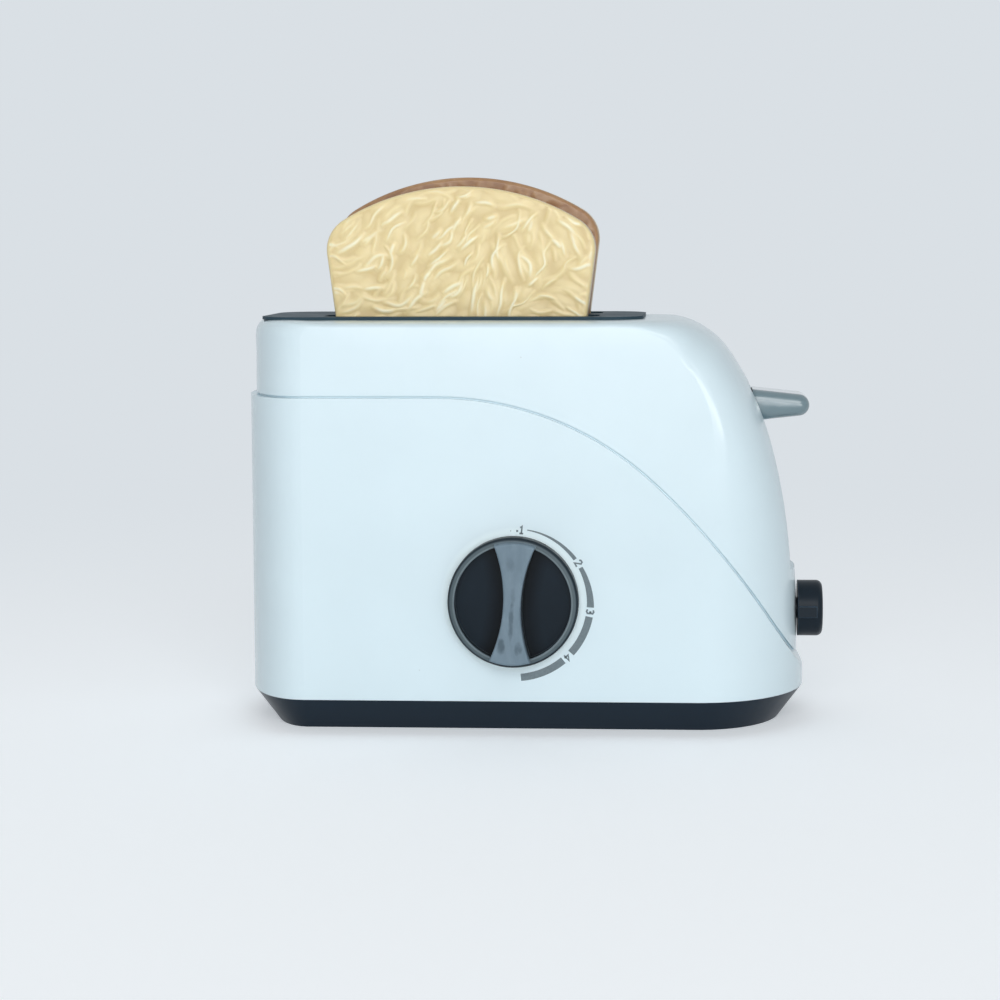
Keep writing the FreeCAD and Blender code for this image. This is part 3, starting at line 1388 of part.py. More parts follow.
def timer():
    for which in TIMER_PLATES:
        timer_plate(which)
    second_way = seen_turn(v.second_turn)
    escape_way = seen_turn(v.escape_turn)
    between = 180.0 / v.pinion_teeth
    thick = v.gear_thickness
    wheel = int(v.wheel_teeth)
    pinion = int(v.pinion_teeth)
    main = gear_shape(wheel, second_way, thick, v.shaft_radius)
    node("main_gear", on_shaft("main_gear_teeth", main, ("0", "timer_z"), "main_gear_x"))

    arbor_x = ("inner_plate_x - pin_end", "outer_plate_x + timer_plate_thickness + pin_end")
    pinion_length = v.second_wheel_x - v.main_gear_x + 0.2
    second_pinion = gear_shape(pinion, second_way + 180 + between, pinion_length)
    second_wheel = gear_shape(wheel, escape_way, thick)
    node(
        "second_gear",
        fuse(
            "second_gear_body",
            on_shaft("second_pinion", second_pinion, SECOND, "main_gear_x - 0.2"),
            on_shaft("second_wheel", second_wheel, SECOND, "second_wheel_x"),
            cylinder("second_arbor", "x", SECOND, arbor_x, "arbor_radius"),
        ),
    )
    pinion_length = v.escape_wheel_x - v.second_wheel_x + 0.2
    escape_pinion = gear_shape(pinion, escape_way + 180 + between, pinion_length)
    node(
        "escape_wheel",
        fuse(
            "escape_wheel_body",
            on_shaft("escape_pinion", escape_pinion, ESCAPE, "second_wheel_x - 0.2"),
            on_shaft("escape_teeth_ring", escape_shape(), ESCAPE, "escape_wheel_x"),
            cylinder("escape_arbor", "x", ESCAPE, arbor_x, "arbor_radius"),
        ),
    )
    node(
        "pallet",
        fuse(
            "pallet_body",
            on_shaft("pallet_arms", pallet_shape(), PALLET, "escape_wheel_x"),
            cylinder("pallet_arbor", "x", PALLET, arbor_x, "arbor_radius"),
        ),
    )
    spiral = on_shaft("mainspring_coil", spiral_shape(), ("0", "timer_z"), "mainspring_x")
    node("mainspring", spiral)

    pillars, screws = [], []
    for side, sign in SIDES.items():
        for level in ("low", "high"):
            at = (f"{sign}pillar_y", f"pillar_{level}")
            name = f"pillar_{side}_{level}"
            span = ("inner_plate_x + timer_plate_thickness", "outer_plate_x")
            tenon = cylinder(name + "_tenon", "x", at, arbor_x, "arbor_radius")
            pillars.append(fuse(name, cylinder(name + "_bar", "x", at, span, "pillar_radius"), tenon))
        for which in TIMER_PLATES:
            seat = "tray_floor + timer_flange_height"
            length = "timer_flange_height + timer_screw_bite"
            name = f"timer_screw_{which}_{side}"
            screws.append(screw(name, "z", timer_foot(which, side), seat, "-", length))
    node("timer_pillars", group("pillar_set", pillars))
    node("timer_screws", group("timer_screw_set", screws))

    cam_x = ("cam_x", "cam_x + cam_thickness")
    at = ("0", "timer_z")
    disc = cylinder("cam_disc", "x", at, cam_x, "cam_radius")
    nub_at = ("0", "timer_z + cam_nub_place")
    nub = cylinder("cam_nub", "x", nub_at, ("cam_x - cam_thickness", "cam_x + 0.5"), "cam_nub_radius")
    bump_x = ("cam_x + 0.5", "cam_x + cam_thickness + cam_bump")
    bump_y = ("cam_radius - 2.6", "cam_radius - 0.4")
    bump = box("cam_bump_block", bump_x, bump_y, middle("timer_z", "1.6"))
    bore = cylinder("cam_bore", "x", at, middle_of(cam_x, "1"), "shaft_radius")
    node("release_cam", cut("cam", fuse("cam_body", disc, nub, bump), bore))
    shaft_x = ("cam_x", "right_end + knob_gap + knob_socket")
    node("timer_shaft", cylinder("shaft_bar", "x", at, shaft_x, "shaft_radius"))

    knob_x = ("right_end + knob_gap", "right_end + knob_gap + knob_length")
    disc = Part.makeCylinder(v.knob_radius, v.knob_length)
    disc = disc.makeFillet(v.knob_round, top_rims(disc, v.knob_length))
    knob_disc = on_shaft("knob_disc", disc, at, knob_x[0])
    rib_x = (knob_x[0], f"{knob_x[1]} - knob_round")
    rib_y = ("-knob_radius - knob_rib_rise", "-knob_radius / 2")
    rib = box("knob_rib_block", rib_x, rib_y, middle("timer_z", "knob_rib / 2"))
    stem_x = (f"{knob_x[0]} - knob_stem_length", f"{knob_x[0]} + 1")
    stem = cylinder("knob_stem", "x", at, stem_x, "knob_stem_radius")
    socket_x = (f"{stem_x[0]} - 1", "right_end + knob_gap + knob_socket")
    socket = cylinder("knob_socket_bore", "x", at, socket_x, "shaft_radius")
    node("timer_knob", cut("knob", fuse("knob_body", knob_disc, rib, stem), socket))


# Bell and its hammer


def bell_solid(shrink):
    radius, low = v.bell_radius - shrink, v.bell_rim_z
    high = low + v.bell_height - shrink
    crown = 0.4 * v.bell_radius
    shoulder = Vector(radius, 0, low + 0.35 * v.bell_height)
    bend = Vector(crown + (radius - crown) * 0.78, 0, high - (high - shoulder.z) * 0.33)
    top = Vector(crown, 0, high)
    edges = [
        Part.makeLine(Vector(0, 0, low), Vector(radius, 0, low)),
        Part.makeLine(Vector(radius, 0, low), shoulder),
        Part.Arc(shoulder, bend, top).toShape(),
        Part.makeLine(top, Vector(0, 0, high)),
        Part.makeLine(Vector(0, 0, high), Vector(0, 0, low)),
    ]
    return Part.Face(Part.Wire(edges)).revolve(Vector(), Vector(0, 0, 1), 360)


def bell():
    outside = bell_solid(0)
    inside = bell_solid(v.bell_wall)
    at = ("bell_x", "0")
    cup = feature("bell_cup", outside.cut(inside))
    place(cup, "z", at, "0")
    seat = "(bell_rim_z + bell_height)"
    hole = cylinder("bell_hole", "z", at, middle_of((seat, seat), "bell_wall + 1"), SCREW_HOLE)
    node("bell", cut("bell_cut", cup, hole))
    node("bell_screw", screw("bell_screw_body", "z", at, seat, "-", "bell_height / 2"))

    pivot = ("hammer_x", "hammer_z")
    hub_y = middle("0", "hammer_width / 2")
    head_x = "bell_x + bell_radius + hammer_gap + hammer_head_radius"
    centre = Vector(v.hammer_x, 0, v.hammer_z)
    reach = v.bell_radius + v.hammer_gap + v.hammer_head_radius
    head_at = Vector(v.bell_x + reach, 0, v.hammer_head_z)
    tail_at = Vector(v.hammer_tail_x, 0, v.hammer_tail_z)
    depth = v.hammer_arm
    upright = Rotation(Vector(1, 0, 0), 90)  # own Y becomes the casing's Z
    arms = []
    for name, end in (("head", head_at), ("tail", tail_at)):
        way = end - centre
        arm = bar(Vector(), Vector(way.x, way.z, 0), v.hammer_arm / 2, depth)
        at_pivot = Placement(centre + Vector(0, depth / 2, 0), upright)
        arms.append(feature(f"hammer_{name}_arm", arm, at_pivot))
    head = sphere("hammer_ball", (head_x, "0", "hammer_head_z"), "hammer_head_radius")
    hub = cylinder("hammer_hub", "y", pivot, hub_y, "hammer_hub_radius")
    bore = cylinder("hammer_bore", "y", pivot, middle_of(hub_y, "1"), "pin_radius + pin_fit")
    node("bell_hammer", cut("hammer", fuse("hammer_body", hub, head, *arms), bore))
    pin = (f"{HAMMER_EARS['front'][0]} - pin_end", f"{HAMMER_EARS['rear'][1]} + pin_end")
    node("hammer_pin", cylinder("hammer_pin_bar", "y", pivot, pin, "pin_radius"))
    low = f"{HAMMER_EARS['rear'][0]} - (coil_room + ear_gap + coil_pitch * coil_turns) / 2"
    node("hammer_spring", torsion_coil("hammer_coil", pivot, low))


# Browning dial


def grip_outline(radius, end_width, waist, inset=0.0):
    """Hourglass between two arcs of a circle, in the XY plane, longer along Y."""
    half_end = end_width / 2 - inset
    half_waist = waist / 2 - inset
    reach = math.sqrt((radius - inset) ** 2 - half_end**2)
    corners = [Vector(x * half_end, y * reach, 0) for x, y in ((1, -1), (1, 1), (-1, 1), (-1, -1))]
    tips = [Vector(0, y * (radius - inset), 0) for y in (1, -1)]
    waists = [Vector(x * half_waist, 0, 0) for x in (1, -1)]
    edges = [
        Part.Arc(corners[0], waists[0], corners[1]).toShape(),
        Part.Arc(corners[1], tips[0], corners[2]).toShape(),
        Part.Arc(corners[2], waists[1], corners[3]).toShape(),
        Part.Arc(corners[3], tips[1], corners[0]).toShape(),
    ]
    return Part.Face(Part.Wire(edges))


def dial_shape():
    """Round dial around +Z with its back at Z = 0: rim, hourglass grip and two hollows."""
    disc = Part.makeCylinder(v.dial_radius, v.dial_thickness)
    disc = disc.makeFillet(v.dial_round, top_rims(disc, v.dial_thickness))
    inner = v.dial_radius - v.dial_rim
    hollow = Part.makeCylinder(inner, v.dial_thickness, Vector(0, 0, v.dial_floor))
    grip_end = inner + v.dial_rim * 0.4
    grip_top = v.dial_thickness + v.grip_rise
    grip = grip_outline(grip_end, v.grip_end_width, v.grip_waist).extrude(Vector(0, 0, grip_top - 0.5))
    rounds = [e for e in grip.Edges if e.BoundBox.ZMin > grip_top - 0.6]
    grip = grip.makeFillet(0.8, rounds)
    return disc.cut(hollow).fuse(grip)


def dial():
    at = ("dial_x", "dial_z")
    tilt = Rotation(Vector(0, 1, 0), v.grip_tilt)
    to_front = Rotation(Vector(1, 0, 0), 90)
    made = feature("dial_face", dial_shape(), Placement(Vector(), tilt * to_front))
    back = "-(half_depth + field_proud + dial_gap)"
    bind(made, "Placement.Base.x", "dial_x")
    bind(made, "Placement.Base.y", back)
    bind(made, "Placement.Base.z", "dial_z")
    wheel_y = (f"-({WHEEL_BACK})", f"-({WHEEL_FRONT})")
    stem = cylinder("dial_stem", "y", at, (f"{back} - 1", wheel_y[0]), "dial_stem_radius")
    bore_y = (f"{wheel_y[0]} - dial_screw_bite", f"{wheel_y[0]} + 1")
    bore = cylinder("dial_bore", "y", at, bore_y, "screw_radius")
    node("browning_dial", cut("dial_cut", fuse("dial_body", made, stem), bore))

    disc = cylinder("click_disc", "y", at, wheel_y, "click_wheel_radius")
    holes = [cylinder("click_disc_bore", "y", at, middle_of(wheel_y, "1"), SCREW_HOLE)]
    for i in range(int(v.click_notches)):
        turn = f"{i} * 360 deg / click_notches"
        centre = (
            f"dial_x + click_wheel_radius * cos({turn})",
            f"dial_z + click_wheel_radius * sin({turn})",
        )
        through = middle_of(wheel_y, "1")
        holes.append(cylinder(f"notch_{i}", "y", centre, through, "click_notch_radius"))
    node("click_wheel", cut("click_wheel_cut", disc, *holes))
    length = "click_wheel_thickness + dial_screw_bite"
    node("dial_screw", screw("dial_screw_body", "y", at, wheel_y[1], "-", length))

    eye = cylinder("click_eye", "y", CLICK_EYE, wheel_y, "click_eye_radius")
    strip_x = middle(CLICK_X, "click_strip / 2")
    strip = box("click_leaf", strip_x, wheel_y, (CLICK_EYE[1], "dial_z + click_wheel_radius"))
    eye_bore = cylinder("click_eye_bore", "y", CLICK_EYE, middle_of(wheel_y, "1"), SCREW_HOLE)
    node("click_spring", cut("click_spring_cut", fuse("click_spring_body", eye, strip), eye_bore))
    length = "click_wheel_thickness + click_screw_bite"
    node("click_screw", screw("click_screw_body", "y", CLICK_EYE, wheel_y[1], "-", length))


casing()
slot_plate()
wells()
tray()
slices()
carriage()
lever()
rods()
latch()
timer()
bell()
dial()
doc.recompute()

faults = [o.Name for o in doc.Objects if "Invalid" in o.State or "Error" in o.State]
faults += [k for k, o in NODES.items() if o.Shape.isNull() or not o.Shape.isValid() or not o.Shape.Solids]
if faults:
    print("Faulty objects:", ", ".join(faults))
    sys.exit(1)

os.makedirs("parts", exist_ok=True)
for label, obj in NODES.items():
    obj.Shape.exportStep(os.path.join("parts", f"{label}.step"))
print(len(NODES), "pieces written")
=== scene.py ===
# Looks of the toy toaster: moulded plastics, the embossed bread slices, the lift springs, the dial's
# printed scale, a pale floor, soft light and the camera. Everything ends up in metres, in the frame
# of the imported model: the origin is on the floor under the middle, +Z is up and the front faces -Y.
# Sizes of the toaster's pieces are written in millimetres and scaled by MM.

import json
import math
import random

import bmesh
import bpy
from mathutils import Matrix, Quaternion, Vector, noise

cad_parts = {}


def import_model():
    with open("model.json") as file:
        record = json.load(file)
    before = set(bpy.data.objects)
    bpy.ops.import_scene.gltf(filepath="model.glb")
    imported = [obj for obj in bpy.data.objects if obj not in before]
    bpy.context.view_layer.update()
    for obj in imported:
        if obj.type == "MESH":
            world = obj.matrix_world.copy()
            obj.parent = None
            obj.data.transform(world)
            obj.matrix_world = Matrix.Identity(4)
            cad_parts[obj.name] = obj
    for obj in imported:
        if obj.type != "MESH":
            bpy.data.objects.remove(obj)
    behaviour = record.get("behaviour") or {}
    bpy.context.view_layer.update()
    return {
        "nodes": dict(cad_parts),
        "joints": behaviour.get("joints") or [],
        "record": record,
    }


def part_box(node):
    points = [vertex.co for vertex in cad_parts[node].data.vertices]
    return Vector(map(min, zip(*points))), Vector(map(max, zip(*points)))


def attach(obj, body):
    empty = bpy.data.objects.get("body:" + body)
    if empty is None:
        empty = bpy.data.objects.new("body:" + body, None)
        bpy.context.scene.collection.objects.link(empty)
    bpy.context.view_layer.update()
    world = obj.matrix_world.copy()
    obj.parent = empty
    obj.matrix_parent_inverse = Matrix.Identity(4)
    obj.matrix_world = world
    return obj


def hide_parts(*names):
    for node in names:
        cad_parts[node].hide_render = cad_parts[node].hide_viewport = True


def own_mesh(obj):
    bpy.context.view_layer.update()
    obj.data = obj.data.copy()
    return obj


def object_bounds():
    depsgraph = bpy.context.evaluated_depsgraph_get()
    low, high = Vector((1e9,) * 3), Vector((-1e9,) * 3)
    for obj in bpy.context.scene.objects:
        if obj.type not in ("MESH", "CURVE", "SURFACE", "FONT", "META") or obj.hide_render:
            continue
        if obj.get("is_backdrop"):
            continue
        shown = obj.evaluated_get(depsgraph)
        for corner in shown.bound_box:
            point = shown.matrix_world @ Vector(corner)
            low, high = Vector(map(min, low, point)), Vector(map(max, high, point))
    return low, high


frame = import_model()
nodes = frame["nodes"]
MM = 0.001


# Materials


class Graph:
    """A material whose nodes are added one by one, each with its inputs and settings."""

    def __init__(self, name):
        self.material = bpy.data.materials.new(name)
        self.material.use_nodes = True
        self.tree = self.material.node_tree
        self.tree.nodes.clear()
        self.place = self.add("TexCoord").outputs["Object"]

    def add(self, kind, inputs=None, **settings):
        made = self.tree.nodes.new("ShaderNode" + kind)
        for key, value in settings.items():
            setattr(made, key, value)
        for key, value in (inputs or {}).items():
            if isinstance(value, bpy.types.NodeSocket):
                self.tree.links.new(value, made.inputs[key])
            else:
                made.inputs[key].default_value = value
        return made

    def noise(self, size, detail=2.0, rough=0.5, stretch=(1, 1, 1)):
        """Smooth noise from 0 to 1 whose blots are about size millimetres wide."""
        place = self.add("Mapping", {"Vector": self.place, "Scale": stretch}).outputs[0]
        inputs = {"Vector": place, "Scale": 1000.0 / size, "Detail": detail, "Roughness": rough}
        return self.add("TexNoise", inputs).outputs[0]

    def ramp(self, factor, *stops):
        """Colour that runs through (position, colour) stops."""
        made = self.add("ValToRGB", {"Fac": factor})
        elements = made.color_ramp.elements
        while len(elements) < len(stops):
            elements.new(0.5)
        for element, (position, colour) in zip(elements, stops):
            element.position = position
            element.color = (*colour, 1.0)
        return made.outputs[0]

    def spread(self, factor, low, high, start=0.3, end=0.7):
        """Low to high as the factor goes from start to end, and level beyond them."""
        inputs = {"Value": factor, "From Min": start, "From Max": end, "To Min": low, "To Max": high}
        return self.add("MapRange", inputs).outputs[0]

    def math(self, operation, *values):
        made = self.add("Math", dict(enumerate(values)), operation=operation)
        return made.outputs[0]

    def mix(self, factor, first, second):
        made = self.add("Mix", {0: factor}, data_type="RGBA")
        for key, value in ((6, first), (7, second)):
            if isinstance(value, bpy.types.NodeSocket):
                self.tree.links.new(value, made.inputs[key])
            else:
                made.inputs[key].default_value = (*value, 1.0)
        return made.outputs[2]

    def edges(self, radius):
        """Normal that is softened at the edges, and a mask that is 1 along them."""
        soft = self.add("Bevel", {"Radius": radius * MM}, samples=6).outputs[0]
        plain = self.add("NewGeometry").outputs["Normal"]
        turn = self.add("VectorMath", {0: soft, 1: plain}, operation="DOT_PRODUCT").outputs["Value"]
        return soft, self.spread(turn, 1.0, 0.0, 0.90, 0.995)

    def bump(self, height, strength, depth, normal=None):
        inputs = {"Height": height, "Strength": strength, "Distance": depth * MM}
        if normal is not None:
            inputs["Normal"] = normal
        return self.add("Bump", inputs).outputs[0]

    def finish(self, inputs):
        shader = self.add("BsdfPrincipled", inputs)
        output = self.add("OutputMaterial")
        self.tree.links.new(shader.outputs[0], output.inputs[0])
        return self.material


def shade(colour, factor):
    return tuple(min(1.0, c * factor) for c in colour)


def plastic(name, colour, roughness, grain=0.0, coat=0.0, edge=0.25, edge_highlight=1.25, gloss=0.5):
    """Moulded plastic: faint clouding, a slightly uneven gloss, fine grain, softened edges and a painted
    highlight along them, where the colour is lightened. A dull one's roughness stays above 0.28 all
    over, because places below that showed as faint marks on the base in the render."""
    g = Graph(name)
    soft, rim = g.edges(edge)
    base = g.ramp(g.noise(34, 3), (0.3, shade(colour, 0.965)), (0.7, shade(colour, 1.02)))
    # painted highlight: the colour along the softened edges is lightened by the edge factor
    base = g.mix(g.math("MULTIPLY", rim, 0.5), base, shade(colour, edge_highlight))
    normal = g.bump(g.noise(3.2, 1), 0.02, 0.25, soft)
    if grain:
        normal = g.bump(g.noise(0.35, 2), grain, 0.03, normal)
    return g.finish(
        {
            "Base Color": base,
            "Roughness": g.spread(g.noise(11, 3), roughness - 0.04, roughness + 0.05),
            "Normal": normal,
            "Coat Weight": coat,
            "Coat Roughness": 0.06,
            "Specular IOR Level": gloss,
        }
    )


DIAL_CENTRE = Vector((-1.9, 0, 49.4)) * MM


def shell_white():
    """Glossy cool white with a faint mottling, a few fine specks, a soft orange peel, painted shade
    along the edges and seams, and a painted lighter ring round the dial."""
    ring_inner, ring_outer = 25.2 * MM, 27.2 * MM
    front_from, front_to = -42.5 * MM, -41.5 * MM  # the ring is on the front face only
    colour = (0.712, 0.848, 0.910)
    g = Graph("shell_white")
    soft, rim = g.edges(0.35)
    base = g.ramp(g.noise(48, 3), (0.3, shade(colour, 0.975)), (0.7, shade(colour, 1.012)))
    # painted shade: the colour is darkened a little along the edges and seams
    base = g.mix(g.math("MULTIPLY", rim, 0.25), base, shade(colour, 0.86))
    cells = g.add("TexVoronoi", {"Vector": g.place, "Scale": 38.0}, feature="F1")
    speck = g.spread(cells.outputs["Distance"], 0.3, 0.0, 0.008, 0.014)
    base = g.mix(speck, base, (0.3, 0.32, 0.33))
    # painted light: a lighter ring on the front face round the dial, where the dial's shadow falls
    local = g.add("Mapping", {"Vector": g.place, "Location": -DIAL_CENTRE}).outputs[0]
    parts = g.add("SeparateXYZ", {0: local})
    square = [g.math("MULTIPLY", side, side) for side in (parts.outputs[0], parts.outputs[2])]
    radius = g.math("SQRT", g.math("ADD", *square))
    front = g.spread(parts.outputs[1], 1.0, 0.0, front_from, front_to)
    painted_light_ring = g.math("MULTIPLY", g.spread(radius, 1.0, 0.0, ring_inner, ring_outer), front)
    base = g.mix(painted_light_ring, base, (0.80, 0.94, 0.985))
    normal = g.bump(g.noise(7, 1), 0.035, 0.3, soft)
    normal = g.bump(g.noise(0.6, 2), 0.02, 0.02, normal)
    return g.finish(
        {
            "Base Color": base,
            "Roughness": g.spread(g.noise(17, 3), 0.19, 0.27),
            "Normal": normal,
            "Specular IOR Level": 0.35,
            "Coat Weight": 0.08,
            "Coat Roughness": 0.05,
            "Subsurface Weight": 0.06,
            "Subsurface Radius": (0.004, 0.004, 0.004),
            "Subsurface Scale": 0.6,
        }
    )


def dial_plastic():
    """Charcoal dial with painted light: a lighter band and a dark outer line painted into the rim's
    colour, near-black painted shade in the hollows, a lighter hourglass grip with a painted sheen and
    darker spots, and a painted highlight along the edges.
    """
    tilt, waist, end_half, reach = 2.8, 3.2, 7.5, 21.1  # of the grip: degrees, then millimetres
    grip_from, grip_full = 49.2, 49.6  # distances in front of the middle
    floor_full, floor_to = 47.0, 48.8
    rim_inner, rim_outer = 20.5, 24.0
    dark_spots = (  # place across and along the grip, half width and half length, strength
        (-0.1, -5.5, 1.0, 7.0, 0.60),
        (0.3, 3.0, 0.9, 3.6, 0.35),
        (-3.3, -15.6, 1.4, 3.0, 0.70),
        (2.9, -16.0, 1.6, 2.6, 0.65),
        (-1.2, 14.5, 1.8, 3.0, 0.30),
    )
    g = Graph("dial_plastic")
    soft, rim = g.edges(0.3)
    local = g.add("Mapping", {"Vector": g.place, "Location": -DIAL_CENTRE}).outputs[0]
    turned = {"Vector": local, "Rotation": (0, math.radians(-tilt), 0), "Scale": (1000, 1000, 1000)}
    parts = g.add("SeparateXYZ", {0: g.add("Mapping", turned).outputs[0]})
    x, z = parts.outputs[0], parts.outputs[2]
    across = g.math("ABSOLUTE", x)
    forward = g.math("MULTIPLY", parts.outputs[1], -1.0)
    radius = g.math("SQRT", g.math("ADD", g.math("MULTIPLY", x, x), g.math("MULTIPLY", z, z)))
    swell = g.math("MULTIPLY", g.math("MULTIPLY", z, z), (end_half - waist) / reach**2)
    inside = g.spread(g.math("SUBTRACT", across, swell), 1.0, 0.0, waist + 0.02, waist + 0.2)
    proud = g.spread(forward, 0.0, 1.0, grip_from, grip_full)
    grip = g.math("MULTIPLY", inside, proud)
    deep_shade = g.spread(forward, 1.0, 0.0, floor_full, floor_to)
    # painted highlight and painted shadow: a lighter band on the rim's rounding and a dark line at its
    # outer edge, where the gap to the shell is in shade
    ring = g.ramp(
        g.spread(radius, 0.0, 1.0, rim_inner, rim_outer),
        (0.22, (0.100, 0.135, 0.158)),
        (0.34, (0.190, 0.240, 0.265)),
        (0.46, (0.100, 0.135, 0.150)),
        (0.66, (0.105, 0.140, 0.160)),
        (0.80, (0.012, 0.020, 0.028)),
    )
    dark = g.mix(g.spread(g.noise(9, 3), 0.0, 0.3), ring, (0.05, 0.065, 0.075))
    # painted shade: the hollows are coloured near-black, darkest beside the grip
    beside = g.spread(g.math("SUBTRACT", across, swell), 0.0, 1.0, waist + 0.3, waist + 7.0)
    hollow_shade = g.ramp(
        beside,
        (0.0, (0.000, 0.002, 0.004)),
        (0.35, (0.001, 0.004, 0.008)),
        (1.0, (0.007, 0.015, 0.024)),
    )
    hollow_shade = g.mix(g.spread(g.noise(14, 2), 0.0, 0.4), hollow_shade, (0.004, 0.009, 0.015))
    dark = g.mix(deep_shade, dark, hollow_shade)
    # painted sheen: the grip is coloured a lighter grey than the rest of the dial, with streaks along it
    streaks = g.noise(3.4, 3, 0.55, (1.0, 1.0, 0.4))
    pale = g.ramp(streaks, (0.3, (0.162, 0.225, 0.276)), (0.7, (0.200, 0.270, 0.328)))
    # darker spots on the grip's colour
    for at_x, at_z, wide, tall, strength in dark_spots:
        off_x = g.math("DIVIDE", g.math("SUBTRACT", x, at_x), wide)
        off_z = g.math("DIVIDE", g.math("SUBTRACT", z, at_z), tall)
        off = g.math("ADD", g.math("MULTIPLY", off_x, off_x), g.math("MULTIPLY", off_z, off_z))
        ragged = g.math("ADD", off, g.spread(g.noise(2.0, 3, 0.5, (1.0, 1.0, 0.6)), -0.5, 0.5))
        pale = g.mix(g.spread(ragged, strength, 0.0, 0.1, 1.3), pale, (0.060, 0.090, 0.115))
    base = g.mix(grip, dark, pale)
    # painted highlight: the colour is lightened along the edges
    base = g.mix(g.math("MULTIPLY", rim, 0.3), base, (0.24, 0.30, 0.34))
    normal = g.bump(g.noise(2.6, 1), 0.03, 0.2, soft)
    normal = g.bump(g.noise(0.3, 2), 0.04, 0.02, normal)
    return g.finish(
        {
            "Base Color": base,
            "Roughness": g.spread(g.noise(8, 3), 0.30, 0.40),
            "Normal": normal,
            "Specular IOR Level": 0.12,
        }
    )


def bread_plastic(name, crest_highlight, pale, deep_shade, blot=None):
    """Soft matte plastic whose colour follows the ridges: painted shade in the hollows between them and
    a painted highlight on their crests.
    """
    g = Graph(name)
    ridge = g.add("Attribute", attribute_name="ridge").outputs["Fac"]
    middle = tuple(0.6 * a + 0.4 * b for a, b in zip(pale, deep_shade))
    # painted highlight on the crests and painted shade in the hollows: the colour runs with the ridge
    # height
    base = g.ramp(ridge, (0.04, deep_shade), (0.20, middle), (0.5, pale), (0.95, crest_highlight))
    base = g.mix(g.spread(g.noise(7, 4, 0.6), 0.0, 0.18), base, shade(deep_shade, 0.94))
    if blot:
        base = g.mix(g.spread(g.noise(19, 3), 0.0, 0.75), base, blot)
    normal = g.bump(g.noise(0.45, 3), 0.12, 0.06)
    normal = g.bump(g.noise(1.6, 2), 0.10, 0.12, normal)
    return g.finish(
        {
            "Base Color": base,
            "Roughness": g.spread(g.noise(5, 3), 0.29, 0.38),
            "Normal": normal,
            "Subsurface Weight": 0.10,
            "Subsurface Radius": (0.004, 0.003, 0.0015),
            "Subsurface Scale": 0.5,
            "Specular IOR Level": 0.5,
        }
    )


def metal(name, colour, roughness, stretch=(1, 1, 1), spots=0.12):
    """Bare metal with fine drawn or rolled lines and a little tarnish."""
    g = Graph(name)
    soft, _ = g.edges(0.15)
    lines = g.noise(0.6, 3, 0.6, stretch)
    tarnish = g.spread(g.noise(6, 4, 0.6), 0.0, spots, 0.5, 0.75)
    base = g.ramp(lines, (0.3, shade(colour, 0.9)), (0.7, shade(colour, 1.05)))
    base = g.mix(tarnish, base, shade(colour, 0.5))
    return g.finish(
        {
            "Base Color": base,
            "Metallic": 1.0,
            "Roughness": g.spread(lines, roughness - 0.06, roughness + 0.08),
            "Normal": g.bump(lines, 0.1, 0.03, soft),
        }
    )


def ink():
    """Pad-printed grey, a little thinner at places."""
    g = Graph("ink")
    base = g.ramp(g.noise(0.7, 3), (0.3, (0.155, 0.205, 0.230)), (0.75, (0.125, 0.168, 0.190)))
    return g.finish({"Base Color": base, "Roughness": g.spread(g.noise(0.5), 0.42, 0.52)})


LOOKS = {
    "shell_white": shell_white(),
    "plate_grey": plastic("plate_grey", (0.038, 0.068, 0.090), 0.42, grain=0.1, gloss=0.04),
    "base_grey": plastic("base_grey", (0.009, 0.020, 0.034), 0.33, grain=0.05, edge_highlight=2.5, gloss=0.16),
    "lever_grey": plastic(
        "lever_grey", (0.130, 0.205, 0.235), 0.10, coat=0.8, edge=3.2, edge_highlight=1.0, gloss=0.8
    ),
    "knob_dark": plastic(
        "knob_dark", (0.009, 0.016, 0.024), 0.34, grain=0.1, edge=0.4, edge_highlight=9.0, gloss=0.14
    ),
    "dial_dark": dial_plastic(),
    "bread_cream": bread_plastic(
        "bread_cream", (1.0, 0.97, 0.74), (0.88, 0.735, 0.41), (0.665, 0.51, 0.24)
    ),
    "bread_toast": bread_plastic(
        "bread_toast", (0.58, 0.37, 0.20), (0.50, 0.30, 0.15), (0.34, 0.17, 0.075), (0.26, 0.12, 0.05)
    ),
    "liner_dark": plastic("liner_dark", (0.012, 0.016, 0.020), 0.4, grain=0.15, edge_highlight=1.6),
    "carriage_dark": plastic("carriage_dark", (0.018, 0.022, 0.027), 0.42, grain=0.15, edge_highlight=1.6),
    "steel": metal("steel", (0.50, 0.51, 0.52), 0.34, (1, 1, 0.2)),
    "spring_steel": metal("spring_steel", (0.40, 0.41, 0.43), 0.28),
    "bell_steel": metal("bell_steel", (0.66, 0.66, 0.65), 0.14, (0.3, 0.3, 2.0), 0.05),
    "gear_white": plastic("gear_white", (0.72, 0.70, 0.62), 0.45, grain=0.1, edge_highlight=1.05),
    "brass": metal("brass", (0.62, 0.42, 0.15), 0.3, (1, 1, 1), 0.2),
    "stop_rubber": plastic("stop_rubber", (0.010, 0.010, 0.011), 0.7, grain=0.3, edge_highlight=1.4),
}
INK = ink()

for subpart in frame["record"]["subparts"]:
    for material_slot in nodes[subpart["node"]].material_slots:
        material_slot.material = LOOKS[subpart["material_slot"]]


def mesh_of(form, name):
    mesh = bpy.data.meshes.new(name)
    form.to_mesh(mesh)
    form.free()
    return mesh


def linked(name, data):
    made = bpy.data.objects.new(name, data)
    bpy.context.scene.collection.objects.link(made)
    return made


def new_piece(name, mesh, slot_name, body, material=None):
    piece = linked(name, mesh)
    mesh.materials.append(material or LOOKS[slot_name])
    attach(piece, body)
    return piece


# Bread slices: the outline is that of the solids, and the faces carry the embossed ridges

